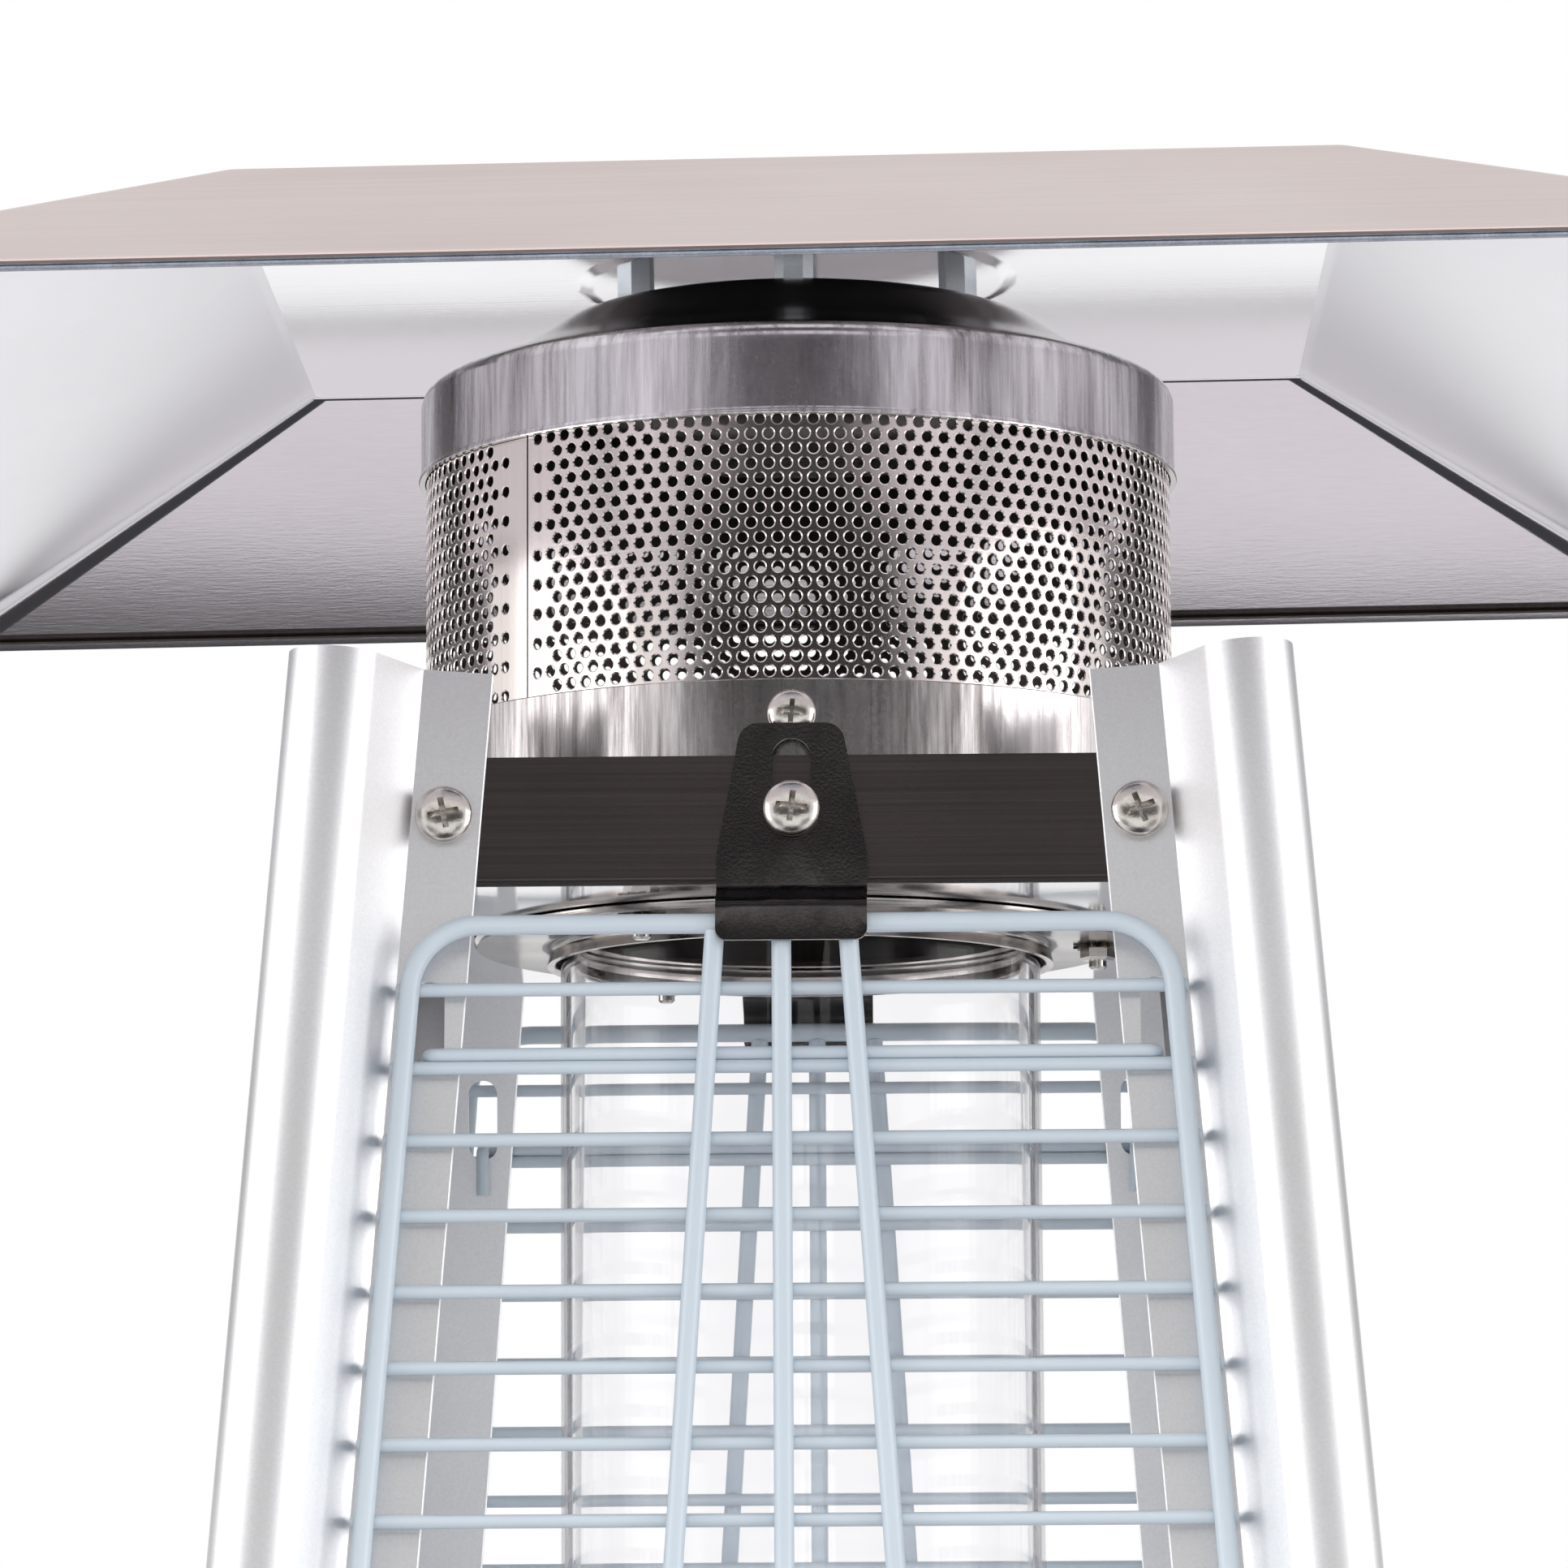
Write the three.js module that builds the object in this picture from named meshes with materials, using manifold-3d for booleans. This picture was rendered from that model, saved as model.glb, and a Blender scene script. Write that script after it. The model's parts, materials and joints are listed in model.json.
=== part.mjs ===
// Pyramid patio heater: four leaning corner posts carry a burner cabinet, a clear flame tube
// behind wire guards, a flame screen with its cap, and a square hood.
// Millimetres, +Z up, floor at z = 0, front face towards -Y.
import * as THREE from 'three';
import { mergeVertices } from 'three/addons/utils/BufferGeometryUtils.js';
import Module from 'manifold-3d';

const wasm = await Module();
wasm.setup();

// Driving dimensions of the pyramid
const headHeight = 2144; // tray screws above the floor
const headFaceDistance = 86.3; // axis to the outer plane of the posts' flanges, at the tray screws
const taperShare = 0.0774; // face distance gained per unit of height on the way down
const seatGap = 0.3; // clearance between pieces that rest on each other
const overrun = 5; // how far a cutter runs past what it cuts
const mergeShare = 0.001; // of the seat gap, for corners taken as one

// Sheet and wire stock
const sheet = 1; // cabinet, tray and clip sheet
const hoodSheet = 0.8;
const bandSheet = 0.8; // collar, flame screen and cap
const postWall = 1.5;
const frameWire = 4; // outer frame of a guard
const rodWire = 3.9; // the three rods of a guard
const crossWire = 2.7; // cross wires and hook wire of a guard

// Corner posts: two flanges in the face planes and a rounded nose on the diagonal
const flangeWidth = 14;
const flangeInset = 10.95; // corner of the two face planes to where a flange ends
const noseReach = 5.6; // corner to the nose centre, along each face
const noseRadius = 10;
const postTopRise = 30.6; // post top above the tray screws
const slotWidth = 6.3; // hook slots in the flanges
const slotHeight = 17.5;
const slotDrop = 42; // tray screws down to the slot centre

// Guards
const guardInset = 12.05; // corner of the face planes to the frame's outer edge
const guardTopDrop = 21.2; // tray screws down to the top of the frame
const guardCornerRadius = 15.5;
const crossWireTopDrop = 35.5; // tray screws down to the first cross wire
const crossWirePitch = 15;
const rodTopSpread = 13.1; // centre rod to outer rod
const rodBottomSpread = 96;
const hookTail = 10; // hook wire's bent end below the wire
const weldDepth = 1; // wire ends sunk in the frame
const hookWeld = 0.2; // hook wire sunk in the cross wire below it
const rodClearance = 0.2; // rods stand clear of the cross wires behind them

// Guard clips
const clipTopWidth = 19.9;
const clipWidth = 29.8;
const clipRise = 18.5; // top edge above the tray screws
const clipShoulderDrop = 8; // where the sides turn straight
const clipStepDrop = 16; // where the step outwards starts
const clipLipDrop = 21; // where the lip starts
const clipLipEndDrop = 27.3;
const clipLipRadius = 2;
const clipSlotSpare = 1.6; // clip's slot wider than the screw
const clipSlotHeight = 20.1;
const clipSlotRise = 5.35; // slot centre above the tray screws
const clipScrewRise = 0.9;
const clipScrewLength = 5.2; // shank behind the head

// Machine screws
const panHeadRadius = 5.7;
const panHeadHeight = 3.4;
const panShankRadius = 3;
const smallHeadRadius = 4.4;
const smallHeadHeight = 2.8;
const smallShankRadius = 2;
const shankClearance = 0.3;

// Top tray, collar, flame screen and cap
const trayRise = 12; // tray wall above the tray screws
const trayDrop = 14;
const trayHoleInset = 4; // hole's edge inside the tube's outline
const collarRadius = 79.2;
const collarRise = 28.3; // collar's top above the tray screws
const collarScrewDrop = 7.3; // collar's top down to its screws
const collarScrewLength = 5;
const screenWindow = 53.8; // perforated band between the collar and the cap
const capBandHeight = 16.7;
const capShoulderRadius = 2;
const capConeHeight = 17.6;
const capFlatRadius = 42;

// Hood
const hoodTopHalf = 112.2;
const hoodRimHalf = 208.7;
const hoodDrop = 39; // flat top down to the rim
const hoodFoldRadius = 3; // soft fold between the flat and the slopes
const hoodHipRadius = 5; // rounding of the hips at the top
const hoodRimCornerRadius = 9;
const hoodHemWidth = 4;
const hoodDiscMargin = 3; // pressed disc past the cap's flat top
const hoodDiscDepth = 0.6;
const standoffInset = 8; // standoffs inside the edge of the cap's flat top
const standoffLength = 8.5;
const standoffFlats = 8;
const standoffStud = 6;
const hoodScrewLength = 5;
const standoffBoreSpare = 1;

// Flame tube, its seat and its top ring
const tubeRadius = 50;
const tubeWall = 2.8;
const tubeShare = 0.58302; // tube length to head height, 1250 mm of tube
const tubeHeadGap = 2; // tray's underside down to the tube's top end
const ringFlangeWidth = 18; // ring's flange past the tube
const ringWall = 1.5;
const ringCupDepth = 4;
const ringClearance = 0.8; // tube to the ring and the seat
const seatThickness = 7.4; // shelf to the underside of the tube
const seatFlangeWidth = 12; // seat's flange past the tube
const seatFlangeThickness = 3;
const seatLedge = 7; // seat's bore inside the tube's outline
const seatWall = 3.2;
const seatLipHeight = 12;

// Burner
const burnerRadius = 32;
const burnerHeight = 46;
const burnerDomeHeight = 14;
const mixerRadius = 14;
const mixerWall = 1.5;
const mixerLength = 26;
const mixerFlange = 20;
const injectorFlats = 17;
const injectorHeight = 12;
const injectorBoreRadius = 2;
const bracketWidth = 12;
const bracketHeight = 30;
const bracketFoot = 7;
const bracketSheet = 1.2;
const sensorRadius = 2.2;
const sensorRise = 22;
const sensorLength = 26;

// Cabinet
const shelfDepth = 26; // burner shelf's wall
const panelRise = 3; // panel top above the shelf
const panelInset = 12.4; // corner of the face planes to a panel's edge
const panelReturn = 12; // folded edge at a panel's top and bottom
const panelFootGap = 2;
const controlHeight = 104;
const frontGap = 3; // between the door and the control panel
const ventWidth = 8;
const ventHeight = 46;
const ventPitch = 34;
const ventMargin = 42; // panel edge to the vents
const ventCount = 5;

// Control group
const knobRadius = 24;
const knobDepth = 22;
const knobSkirtRadius = 27;
const knobSkirtDepth = 5;
const knobGripWidth = 9;
const knobGripDepth = 7;
const knobStandOff = 4; // knob pushes in by less than this
const knobBoreDepth = 14;
const spindleRadius = 4;
const knobBoreClearance = 0.4; // keeps the bore's flats clear of the turning spindle
const spindleDepth = 10; // spindle inside the valve
const valveWidth = 36;
const valveDepth = 46;
const valveHeight = 42;
const inletRadius = 9;
const inletHeight = 14;
const inletTailRadius = 6;
const inletTailHeight = 18;
const pipeRadius = 4;
const pipeBend = 14;
const pipeDrop = 12; // below the valve's axis
const igniterOffset = 90; // from the knob's axis
const igniterRadius = 13;
const igniterBezel = 3;
const igniterDepth = 34;
const igniterButtonRadius = 9;
const igniterButtonRise = 9;
const igniterButtonStem = 14;
const igniterClearance = 0.5;

// Door, its hinges and handle
const hingeOffset = 13; // corner of the face planes to the hinge axis
const hingeReach = 5.3; // face plane to the hinge axis
const hingeRadius = 3.8;
const hingePinRadius = 2;
const hingePinClearance = 0.3;
const knuckleLength = 22;
const hingeEndShare = 0.16; // hinge centres from the door's ends
const hingeLeafWidth = 9; // hinge axis to a leaf's edge
const hingeLeafSheet = 2;
const hingeLeafNib = 1.6; // leaf past the axis, on the nose side
const hingeNotchSpare = 1;
const handleLength = 130;
const handleBar = 10;
const handleReach = 32;
const handleEdge = 42; // door edge to the handle
const handleTopDrop = 70;

// Base, feet and wheels
const baseMargin = 19.8; // base edge past the feet of the face planes
const baseCover = 8; // base top above the wheels
const baseBottom = 22;
const baseSheet = 1.5;
const baseCornerRadius = 16;
const footRadius = 22;
const footPad = 14;
const footStemRadius = 8;
const footInset = 34; // base edge to the foot's axis
const wheelRadius = 35;
const wheelWidth = 26;
const wheelHubRadius = 14;
const wheelHubWidth = 34;
const wheelInset = 34; // base side to the wheel's middle
const axleRadius = 5;
const axleClearance = 0.4;
const axleEnd = 4; // axle past the base's sides
const wheelNotchSpare = 5;

// Facets
const roundSteps = 24;
const middleSteps = 16;
const smallSteps = 8;
const hexSides = 6;
const squareSides = 4;
const cornerSteps = 2;
const pipeSteps = 9;

// Derived from the driving dimensions
const lean = Math.atan(taperShare);
const faceRateShare = taperShare * Math.cos(lean); // half width gained per unit along the face
const tubeLength = headHeight * tubeShare;
const tubeBottom = headHeight - trayDrop - tubeHeadGap - tubeLength;
const shelfTop = tubeBottom - seatThickness - seatGap * 2;
const panelTop = shelfTop + panelRise;
const baseTop = wheelRadius * 2 + baseCover;
const panelBottom = baseTop + panelFootGap;
const doorTop = panelTop - controlHeight - frontGap;
const controlLevel = panelTop - controlHeight / 2;
const baseHalf = faceDistance(baseTop) + baseMargin;
const screenRadius = collarRadius - bandSheet - seatGap;
const capLipRise = collarRise + screenWindow;
const capShoulderRise = capLipRise + capBandHeight;
const capTopRise = capShoulderRise + capConeHeight;
const standoffRise = capTopRise + seatGap; // lower end of the standoffs
const hoodTopRise = standoffRise + standoffLength + seatGap + hoodDiscDepth + hoodSheet;
const standoffCircle = capFlatRadius - standoffInset;
const hoodDiscRadius = capFlatRadius + hoodDiscMargin;
const trayFloorTop = headHeight - trayDrop + sheet;
const wireBack = seatGap + (frameWire - crossWire - weldDepth) / 2; // cross wires off the face
const rodBack = wireBack + crossWire + rodClearance;
const guardFront = rodBack + rodWire;
const trayFace = -postWall - seatGap; // tray wall behind the flanges
const clipSeat = trayFace + seatGap; // clip's back on the tray wall

const quarterTurn = Math.PI / 2;
const faceNames = ['front', 'right', 'back', 'left'];

const finishes = {
  flange: new THREE.MeshStandardMaterial({ color: 0xb7b5bd, roughness: 0.42, metalness: 0.9 }),
  hood: new THREE.MeshStandardMaterial({ color: 0xc9bfba, roughness: 0.38, metalness: 0.9 }),
  steel: new THREE.MeshStandardMaterial({ color: 0xb0aaa8, roughness: 0.35, metalness: 0.95 }),
  dark: new THREE.MeshStandardMaterial({ color: 0x4a433f, roughness: 0.4, metalness: 0.9 }),
  wire: new THREE.MeshStandardMaterial({ color: 0xc6d3dd, roughness: 0.55, metalness: 0.2 }),
  glass: new THREE.MeshStandardMaterial({ color: 0xe8f0f4, roughness: 0.05, metalness: 0 }),
  zinc: new THREE.MeshStandardMaterial({ color: 0xc3cbd0, roughness: 0.3, metalness: 0.9 }),
  brass: new THREE.MeshStandardMaterial({ color: 0xb08d4a, roughness: 0.35, metalness: 0.9 }),
  plastic: new THREE.MeshStandardMaterial({ color: 0x202124, roughness: 0.5, metalness: 0 }),
  rubber: new THREE.MeshStandardMaterial({ color: 0x26262a, roughness: 0.8, metalness: 0 }),
};

// Face distance and the width between the flanges at a height above the floor
function faceDistance(height) {
  return headFaceDistance + taperShare * (headHeight - height);
}

// Height above the floor turned into a distance along a face, from the tray screws upwards
function alongFace(height) {
  return (height - headHeight) / Math.cos(lean);
}

// Face distance at a distance along the face
function faceHalf(along) {
  return headFaceDistance - faceRateShare * along;
}

// Closed geometry with its faces turned outwards
function outward(geometry) {
  const bare = geometry.clone();
  bare.deleteAttribute('normal');
  bare.deleteAttribute('uv');
  const merged = mergeVertices(bare, seatGap * mergeShare);
  const index = Array.from(merged.index.array);
  const place = merged.attributes.position;
  const corner = [new THREE.Vector3(), new THREE.Vector3(), new THREE.Vector3()];
  const kept = [];
  let volume = 0;
  for (let at = 0; at < index.length; at += 3) {
    const face = index.slice(at, at + 3);
    if (new Set(face).size < 3) continue;
    face.forEach((vertex, slot) => corner[slot].fromBufferAttribute(place, vertex));
    volume += corner[0].dot(corner[1].clone().cross(corner[2]));
    kept.push(face);
  }
  const facing = volume < 0 ? kept.map(([a, b, c]) => [a, c, b]) : kept;
  merged.setIndex(facing.flat());
  merged.computeVertexNormals();
  return merged;
}

function toSolid(geometry) {
  const closed = outward(geometry);
  return new wasm.Manifold(
    new wasm.Mesh({
      numProp: 3,
      vertProperties: new Float32Array(closed.attributes.position.array),
      triVerts: new Uint32Array(closed.index.array),
    }),
  );
}

function toGeometry(solid) {
  const mesh = solid.getMesh();
  const corners = new THREE.BufferAttribute(new Float32Array(mesh.vertProperties), 3);
  const geometry = new THREE.BufferGeometry();
  geometry.setAttribute('position', corners);
  geometry.setIndex(Array.from(mesh.triVerts));
  geometry.computeVertexNormals();
  return geometry;
}

function join(...pieces) {
  return toGeometry(pieces.map(toSolid).reduce((whole, piece) => whole.add(piece)));
}

function cut(body, ...cutters) {
  const tools = cutters.map(toSolid);
  return toGeometry(tools.reduce((whole, piece) => whole.subtract(piece), toSolid(body)));
}

function common(first, second) {
  return toGeometry(toSolid(first).intersect(toSolid(second)));
}

// Box given by its low and high corners
function block(low, high) {
  const size = high.map((value, axis) => value - low[axis]);
  const middle = high.map((value, axis) => (value + low[axis]) / 2);
  return new THREE.BoxGeometry(...size).translate(...middle);
}

// Round or polygonal bar between two points
function bar(from, to, radius, sides) {
  const start = new THREE.Vector3(...from);
  const span = new THREE.Vector3(...to).sub(start);
  const turn = new THREE.Quaternion().setFromUnitVectors(
    new THREE.Vector3(0, 1, 0),
    span.clone().normalize(),
  );
  const length = span.length();
  return new THREE.CylinderGeometry(radius, radius, length, sides)
    .translate(0, length / 2, 0)
    .applyQuaternion(turn)
    .translate(...start);
}

// Turned piece about the vertical axis, from [radius, height] points
function turned(profile, steps = roundSteps) {
  const points = profile.map(([radius, height]) => new THREE.Vector2(radius, height));
  return new THREE.LatheGeometry(points, steps).rotateX(quarterTurn);
}

// Plain ring about the vertical axis
function ring(inner, outer, low, high, steps = roundSteps) {
  return turned([[inner, low], [outer, low], [outer, high], [inner, high], [inner, low]], steps);
}

// Upright cylinder, for round holes
function plug(radius, low, high, x = 0, y = 0, steps = smallSteps) {
  return bar([x, y, low], [x, y, high], radius, steps);
}

// Four-sided frustum with flat faces square to the axes
function squareFrustum(halfLow, halfHigh, low, high) {
  const top = halfHigh * Math.SQRT2;
  const foot = halfLow * Math.SQRT2;
  return new THREE.CylinderGeometry(top, foot, high - low, squareSides)
    .rotateY(quarterTurn / 2)
    .rotateX(quarterTurn)
    .translate(0, 0, (low + high) / 2);
}

// Corner points of an outline, each corner rounded by its radius
function roundedOutline(corners, radii, steps = cornerSteps) {
  const points = [];
  corners.forEach((corner, index) => {
    const here = new THREE.Vector2(...corner);
    const before = new THREE.Vector2(...corners.at(index - 1));
    const after = new THREE.Vector2(...corners[(index + 1) % corners.length]);
    const radius = Array.isArray(radii) ? radii[index] : radii;
    if (radius === 0) {
      points.push(here);
      return;
    }
    const back = before.clone().sub(here).normalize();
    const ahead = after.clone().sub(here).normalize();
    const halfAngle = Math.acos(back.dot(ahead)) / 2;
    const middle = back.clone().add(ahead).normalize();
    const centre = here.clone().addScaledVector(middle, radius / Math.sin(halfAngle));
    const start = here.clone().addScaledVector(back, radius / Math.tan(halfAngle)).sub(centre);
    const end = here.clone().addScaledVector(ahead, radius / Math.tan(halfAngle)).sub(centre);
    const sweep = Math.atan2(start.cross(end), start.dot(end));
    for (let step = 0; step <= steps; step += 1) {
      const spoke = start.clone().rotateAround(new THREE.Vector2(), (sweep * step) / steps);
      points.push(centre.clone().add(spoke));
    }
  });
  return points;
}

function rectangle(left, right, low, high) {
  return [[left, low], [right, low], [right, high], [left, high]];
}

// Upright slot outline with round ends
function slotOutline(x, z, width, height) {
  const corners = rectangle(x - width / 2, x + width / 2, z - height / 2, z + height / 2);
  return roundedOutline(corners, width / 2);
}

// Plate in a face: outline in x and z, its back at a distance outwards from the face plane
function plate(outline, thickness, back, holes = []) {
  const shape = new THREE.Shape(outline);
  shape.holes = holes.map((hole) => new THREE.Path(hole));
  return new THREE.ExtrudeGeometry(shape, { depth: thickness, bevelEnabled: false })
    .rotateX(quarterTurn)
    .translate(0, -back, 0);
}

// Profile of [outwards, up] points in a face, carried across it and centred
function strip(profile, width) {
  const shape = new THREE.Shape(profile.map(([out, rise]) => new THREE.Vector2(out, rise)));
  return new THREE.ExtrudeGeometry(shape, { depth: width, bevelEnabled: false })
    .rotateX(quarterTurn)
    .rotateZ(-quarterTurn)
    .translate(width / 2, 0, 0);
}

// Group whose x runs across a face, z up the face and -y outwards, zero at the tray screws
function faceGroup(side) {
  const around = new THREE.Group();
  around.rotation.z = side * quarterTurn;
  const face = new THREE.Group();
  face.position.set(0, -headFaceDistance, headHeight);
  face.rotation.x = -lean;
  around.add(face);
  around.updateMatrixWorld(true);
  return { around, face };
}

const heater = new THREE.Group();

function place(parent, name, geometry, finish) {
  const mesh = new THREE.Mesh(outward(geometry), finishes[finish].clone());
  mesh.name = name;
  parent.add(mesh);
  return mesh;
}

const faces = faceNames.map((name, side) => {
  const { around, face } = faceGroup(side);
  heater.add(around);
  return { name, side, face };
});
const front = faces[0].face;

// Machine screw in a face: head outwards, shank inwards
function faceScrew(x, z, back, headRadius, headHeight, shankRadius, length) {
  const head = bar([x, -back, z], [x, -back - headHeight, z], headRadius, smallSteps);
  const neck = [x, -back - headHeight / 2, z];
  const shank = bar(neck, [x, -back + length, z], shankRadius, smallSteps);
  return join(head, shank);
}

// Post section, corner of the two face planes at zero, outwards positive
function postOutline() {
  const reach = Math.hypot(noseReach + flangeInset, noseReach);
  const side = Math.atan2(noseReach, noseReach + flangeInset) + Math.asin(noseRadius / reach);
  const flangeEnd = flangeInset + flangeWidth;
  const innerJoint = flangeInset - postWall * Math.tan(side / 2);
  const outline = new THREE.Path();
  outline.moveTo(-flangeEnd, 0);
  outline.lineTo(-flangeInset, 0);
  outline.absarc(noseReach, noseReach, noseRadius, quarterTurn + side, -side, true);
  outline.lineTo(0, -flangeInset);
  outline.lineTo(0, -flangeEnd);
  outline.lineTo(-postWall, -flangeEnd);
  outline.lineTo(-postWall, -innerJoint);
  outline.absarc(noseReach, noseReach, noseRadius - postWall, -side, quarterTurn + side, false);
  outline.lineTo(-innerJoint, -postWall);
  outline.lineTo(-flangeEnd, -postWall);
  return outline.getPoints(cornerSteps + 1);
}

// Section carried up the leaning corner; the top is cut square to the post
function postGeometry() {
  const geometry = new THREE.ExtrudeGeometry(new THREE.Shape(postOutline()), {
    depth: 1,
    bevelEnabled: false,
  });
  const points = geometry.attributes.position;
  const top = headHeight + postTopRise;
  const bottom = baseTop + seatGap;
  for (let index = 0; index < points.count; index += 1) {
    const x = points.getX(index);
    const y = points.getY(index);
    const squareCut = (taperShare * (x + y)) / (1 + 2 * taperShare ** 2);
    const height = points.getZ(index) > 0 ? top + squareCut : bottom;
    points.setXYZ(index, faceDistance(height) + x, faceDistance(height) + y, height);
  }
  const slotAlong = alongFace(headHeight - slotDrop);
  const slotX = faceHalf(slotAlong) - flangeInset - flangeWidth / 2;
  const hookSlot = (x, side) =>
    plate(slotOutline(x, slotAlong, slotWidth, slotHeight), overrun * 2, -overrun).applyMatrix4(
      faces[side].face.matrixWorld,
    );
  return cut(geometry, hookSlot(slotX, 1), hookSlot(-slotX, 2));
}

heater.updateMatrixWorld(true);
const postShape = postGeometry();
['back_right', 'back_left', 'front_left', 'front_right'].forEach((corner, turn) => {
  const post = place(heater, `post_${corner}`, postShape, 'flange');
  post.rotation.z = turn * quarterTurn;
});

// Half width of a guard's outer edge at a distance along the face
function guardHalf(along) {
  return faceHalf(along) - guardInset;
}

function guardGeometry() {
  const top = alongFace(headHeight - guardTopDrop);
  const bottom = alongFace(panelTop) + seatGap;
  const edge = frameWire * Math.hypot(1, faceRateShare);
  const outline = (inset, sideInset, radius) => {
    const high = top - inset;
    const low = bottom + inset;
    const highHalf = guardHalf(high) - sideInset;
    const lowHalf = guardHalf(low) - sideInset;
    const corners = [[-lowHalf, low], [lowHalf, low], [highHalf, high], [-highHalf, high]];
    return roundedOutline(corners, radius);
  };
  const opening = outline(frameWire, edge, guardCornerRadius - frameWire);
  const frame = plate(outline(0, 0, guardCornerRadius), frameWire, seatGap, [opening]);

  const crossBar = (along, half) =>
    strip(
      [
        [wireBack, along - crossWire / 2],
        [wireBack + crossWire, along],
        [wireBack, along + crossWire / 2],
      ],
      half * 2,
    );
  const slotBend = slotWidth / 2 - Math.sqrt((slotWidth / 2) ** 2 - (crossWire / 2) ** 2);
  const hookRest = slotBend + seatGap * 2 + crossWire / 2; // wire's middle above the slot's end
  const hookAlong = alongFace(headHeight - slotDrop) - slotHeight / 2 + hookRest;
  const firstWire = alongFace(headHeight - crossWireTopDrop);
  const lastWire = bottom + frameWire + crossWirePitch / 2;
  const wires = [];
  for (let along = firstWire; along > lastWire; along -= crossWirePitch) {
    const underHook = Math.abs(along - hookAlong) < crossWirePitch / 2;
    const level = underHook ? hookAlong - crossWire + hookWeld : along;
    wires.push(crossBar(level, guardHalf(level) - edge + weldDepth));
  }

  const slotX = faceHalf(alongFace(headHeight - slotDrop)) - flangeInset - flangeWidth / 2;
  const behind = postWall + seatGap;
  const hookTop = hookAlong + crossWire / 2;
  const hooks = [-slotX, slotX].flatMap((x) => [
    block(
      [x - crossWire / 2, -wireBack - crossWire, hookTop - crossWire],
      [x + crossWire / 2, behind + crossWire, hookTop],
    ),
    block(
      [x - crossWire / 2, behind, hookTop - crossWire - hookTail],
      [x + crossWire / 2, behind + crossWire, hookTop],
    ),
  ]);
  hooks.push(
    block([-slotX, -wireBack - crossWire, hookTop - crossWire], [slotX, -wireBack, hookTop]),
  );

  const rodY = -rodBack - rodWire / 2;
  const rodTop = top - frameWire + weldDepth;
  const rodLow = bottom + frameWire - weldDepth;
  const rods = [-1, 0, 1].map((side) => {
    const foot = [side * rodBottomSpread, rodY, rodLow];
    const head = [side * rodTopSpread, rodY, rodTop];
    return bar(foot, head, rodWire / 2, hexSides);
  });
  return join(frame, ...wires, ...hooks, ...rods);
}

// Clip: a bent strip, its sides drawn in towards the top, with an upright slot
function clipGeometry() {
  const lipSeat = guardFront + seatGap;
  const profile = [
    [clipSeat, clipRise],
    [clipSeat, -clipStepDrop],
    [lipSeat, -clipLipDrop],
    [lipSeat, -clipLipEndDrop],
    [lipSeat + sheet, -clipLipEndDrop],
    [lipSeat + sheet, -clipLipDrop + sheet / 2],
    [clipSeat + sheet, -clipStepDrop + sheet / 2],
    [clipSeat + sheet, clipRise],
  ];
  const outline = roundedOutline(
    [
      [-clipWidth / 2, -clipLipEndDrop],
      [clipWidth / 2, -clipLipEndDrop],
      [clipWidth / 2, -clipShoulderDrop],
      [clipTopWidth / 2, clipRise],
      [-clipTopWidth / 2, clipRise],
      [-clipWidth / 2, -clipShoulderDrop],
    ],
    [clipLipRadius, clipLipRadius, 0, clipLipRadius / 2, clipLipRadius / 2, 0],
    1,
  );
  const deep = lipSeat + overrun * 2;
  const slotWide = panShankRadius * 2 + clipSlotSpare;
  const slot = slotOutline(0, clipSlotRise, slotWide, clipSlotHeight);
  return common(strip(profile, clipWidth), plate(outline, deep, -overrun, [slot]));
}

// Panel spanning between two posts' noses, with its top and bottom edges folded inwards
function panelGeometry(low, high) {
  const lowAlong = alongFace(low);
  const highAlong = alongFace(high);
  const lowHalf = faceHalf(lowAlong) - panelInset;
  const highHalf = faceHalf(highAlong) - panelInset;
  const outline = [
    new THREE.Vector2(-lowHalf, lowAlong),
    new THREE.Vector2(lowHalf, lowAlong),
    new THREE.Vector2(highHalf, highAlong),
    new THREE.Vector2(-highHalf, highAlong),
  ];
  const skin = plate(outline, sheet, seatGap);
  const fold = (along, half) =>
    block([-half, -seatGap - sheet / 2, along], [half, panelReturn, along + sheet]);
  const flangeEdge = flangeInset + flangeWidth + sheet;
  return join(
    skin,
    fold(lowAlong, faceHalf(lowAlong) - flangeEdge),
    fold(highAlong - sheet, faceHalf(highAlong) - flangeEdge),
  );
}

// Side or back panel with two rows of vents, near its top and its bottom
function ventedPanelGeometry() {
  const rows = [
    alongFace(panelTop) - ventMargin - ventHeight / 2,
    alongFace(panelBottom) + ventMargin + ventHeight / 2,
  ];
  const vents = [];
  for (const level of rows) {
    for (let index = 0; index < ventCount; index += 1) {
      const x = (index - (ventCount - 1) / 2) * ventPitch;
      vents.push(
        block(
          [x - ventWidth / 2, -overrun, level - ventHeight / 2],
          [x + ventWidth / 2, overrun, level + ventHeight / 2],
        ),
      );
    }
  }
  return cut(panelGeometry(panelBottom, panelTop), ...vents);
}

const guardShape = guardGeometry();
const clipShape = clipGeometry();
const clipScrewShape = faceScrew(
  0,
  clipScrewRise,
  clipSeat + sheet + seatGap,
  panHeadRadius,
  panHeadHeight,
  panShankRadius,
  clipScrewLength,
);
for (const { name, face } of faces) {
  place(face, `guard_${name}`, guardShape, 'wire');
  place(face, `guard_clip_${name}`, clipShape, 'dark');
  place(face, `clip_screw_${name}`, clipScrewShape, 'zinc');
}
const ventedPanelShape = ventedPanelGeometry();
for (const { name, face } of faces.slice(1)) {
  place(face, `panel_${name}`, ventedPanelShape, 'steel');
}

// Control group on the front: panel, valve, spindle, knob and igniter
const knobAlong = alongFace(controlLevel);
const panelFront = seatGap + sheet;

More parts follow.
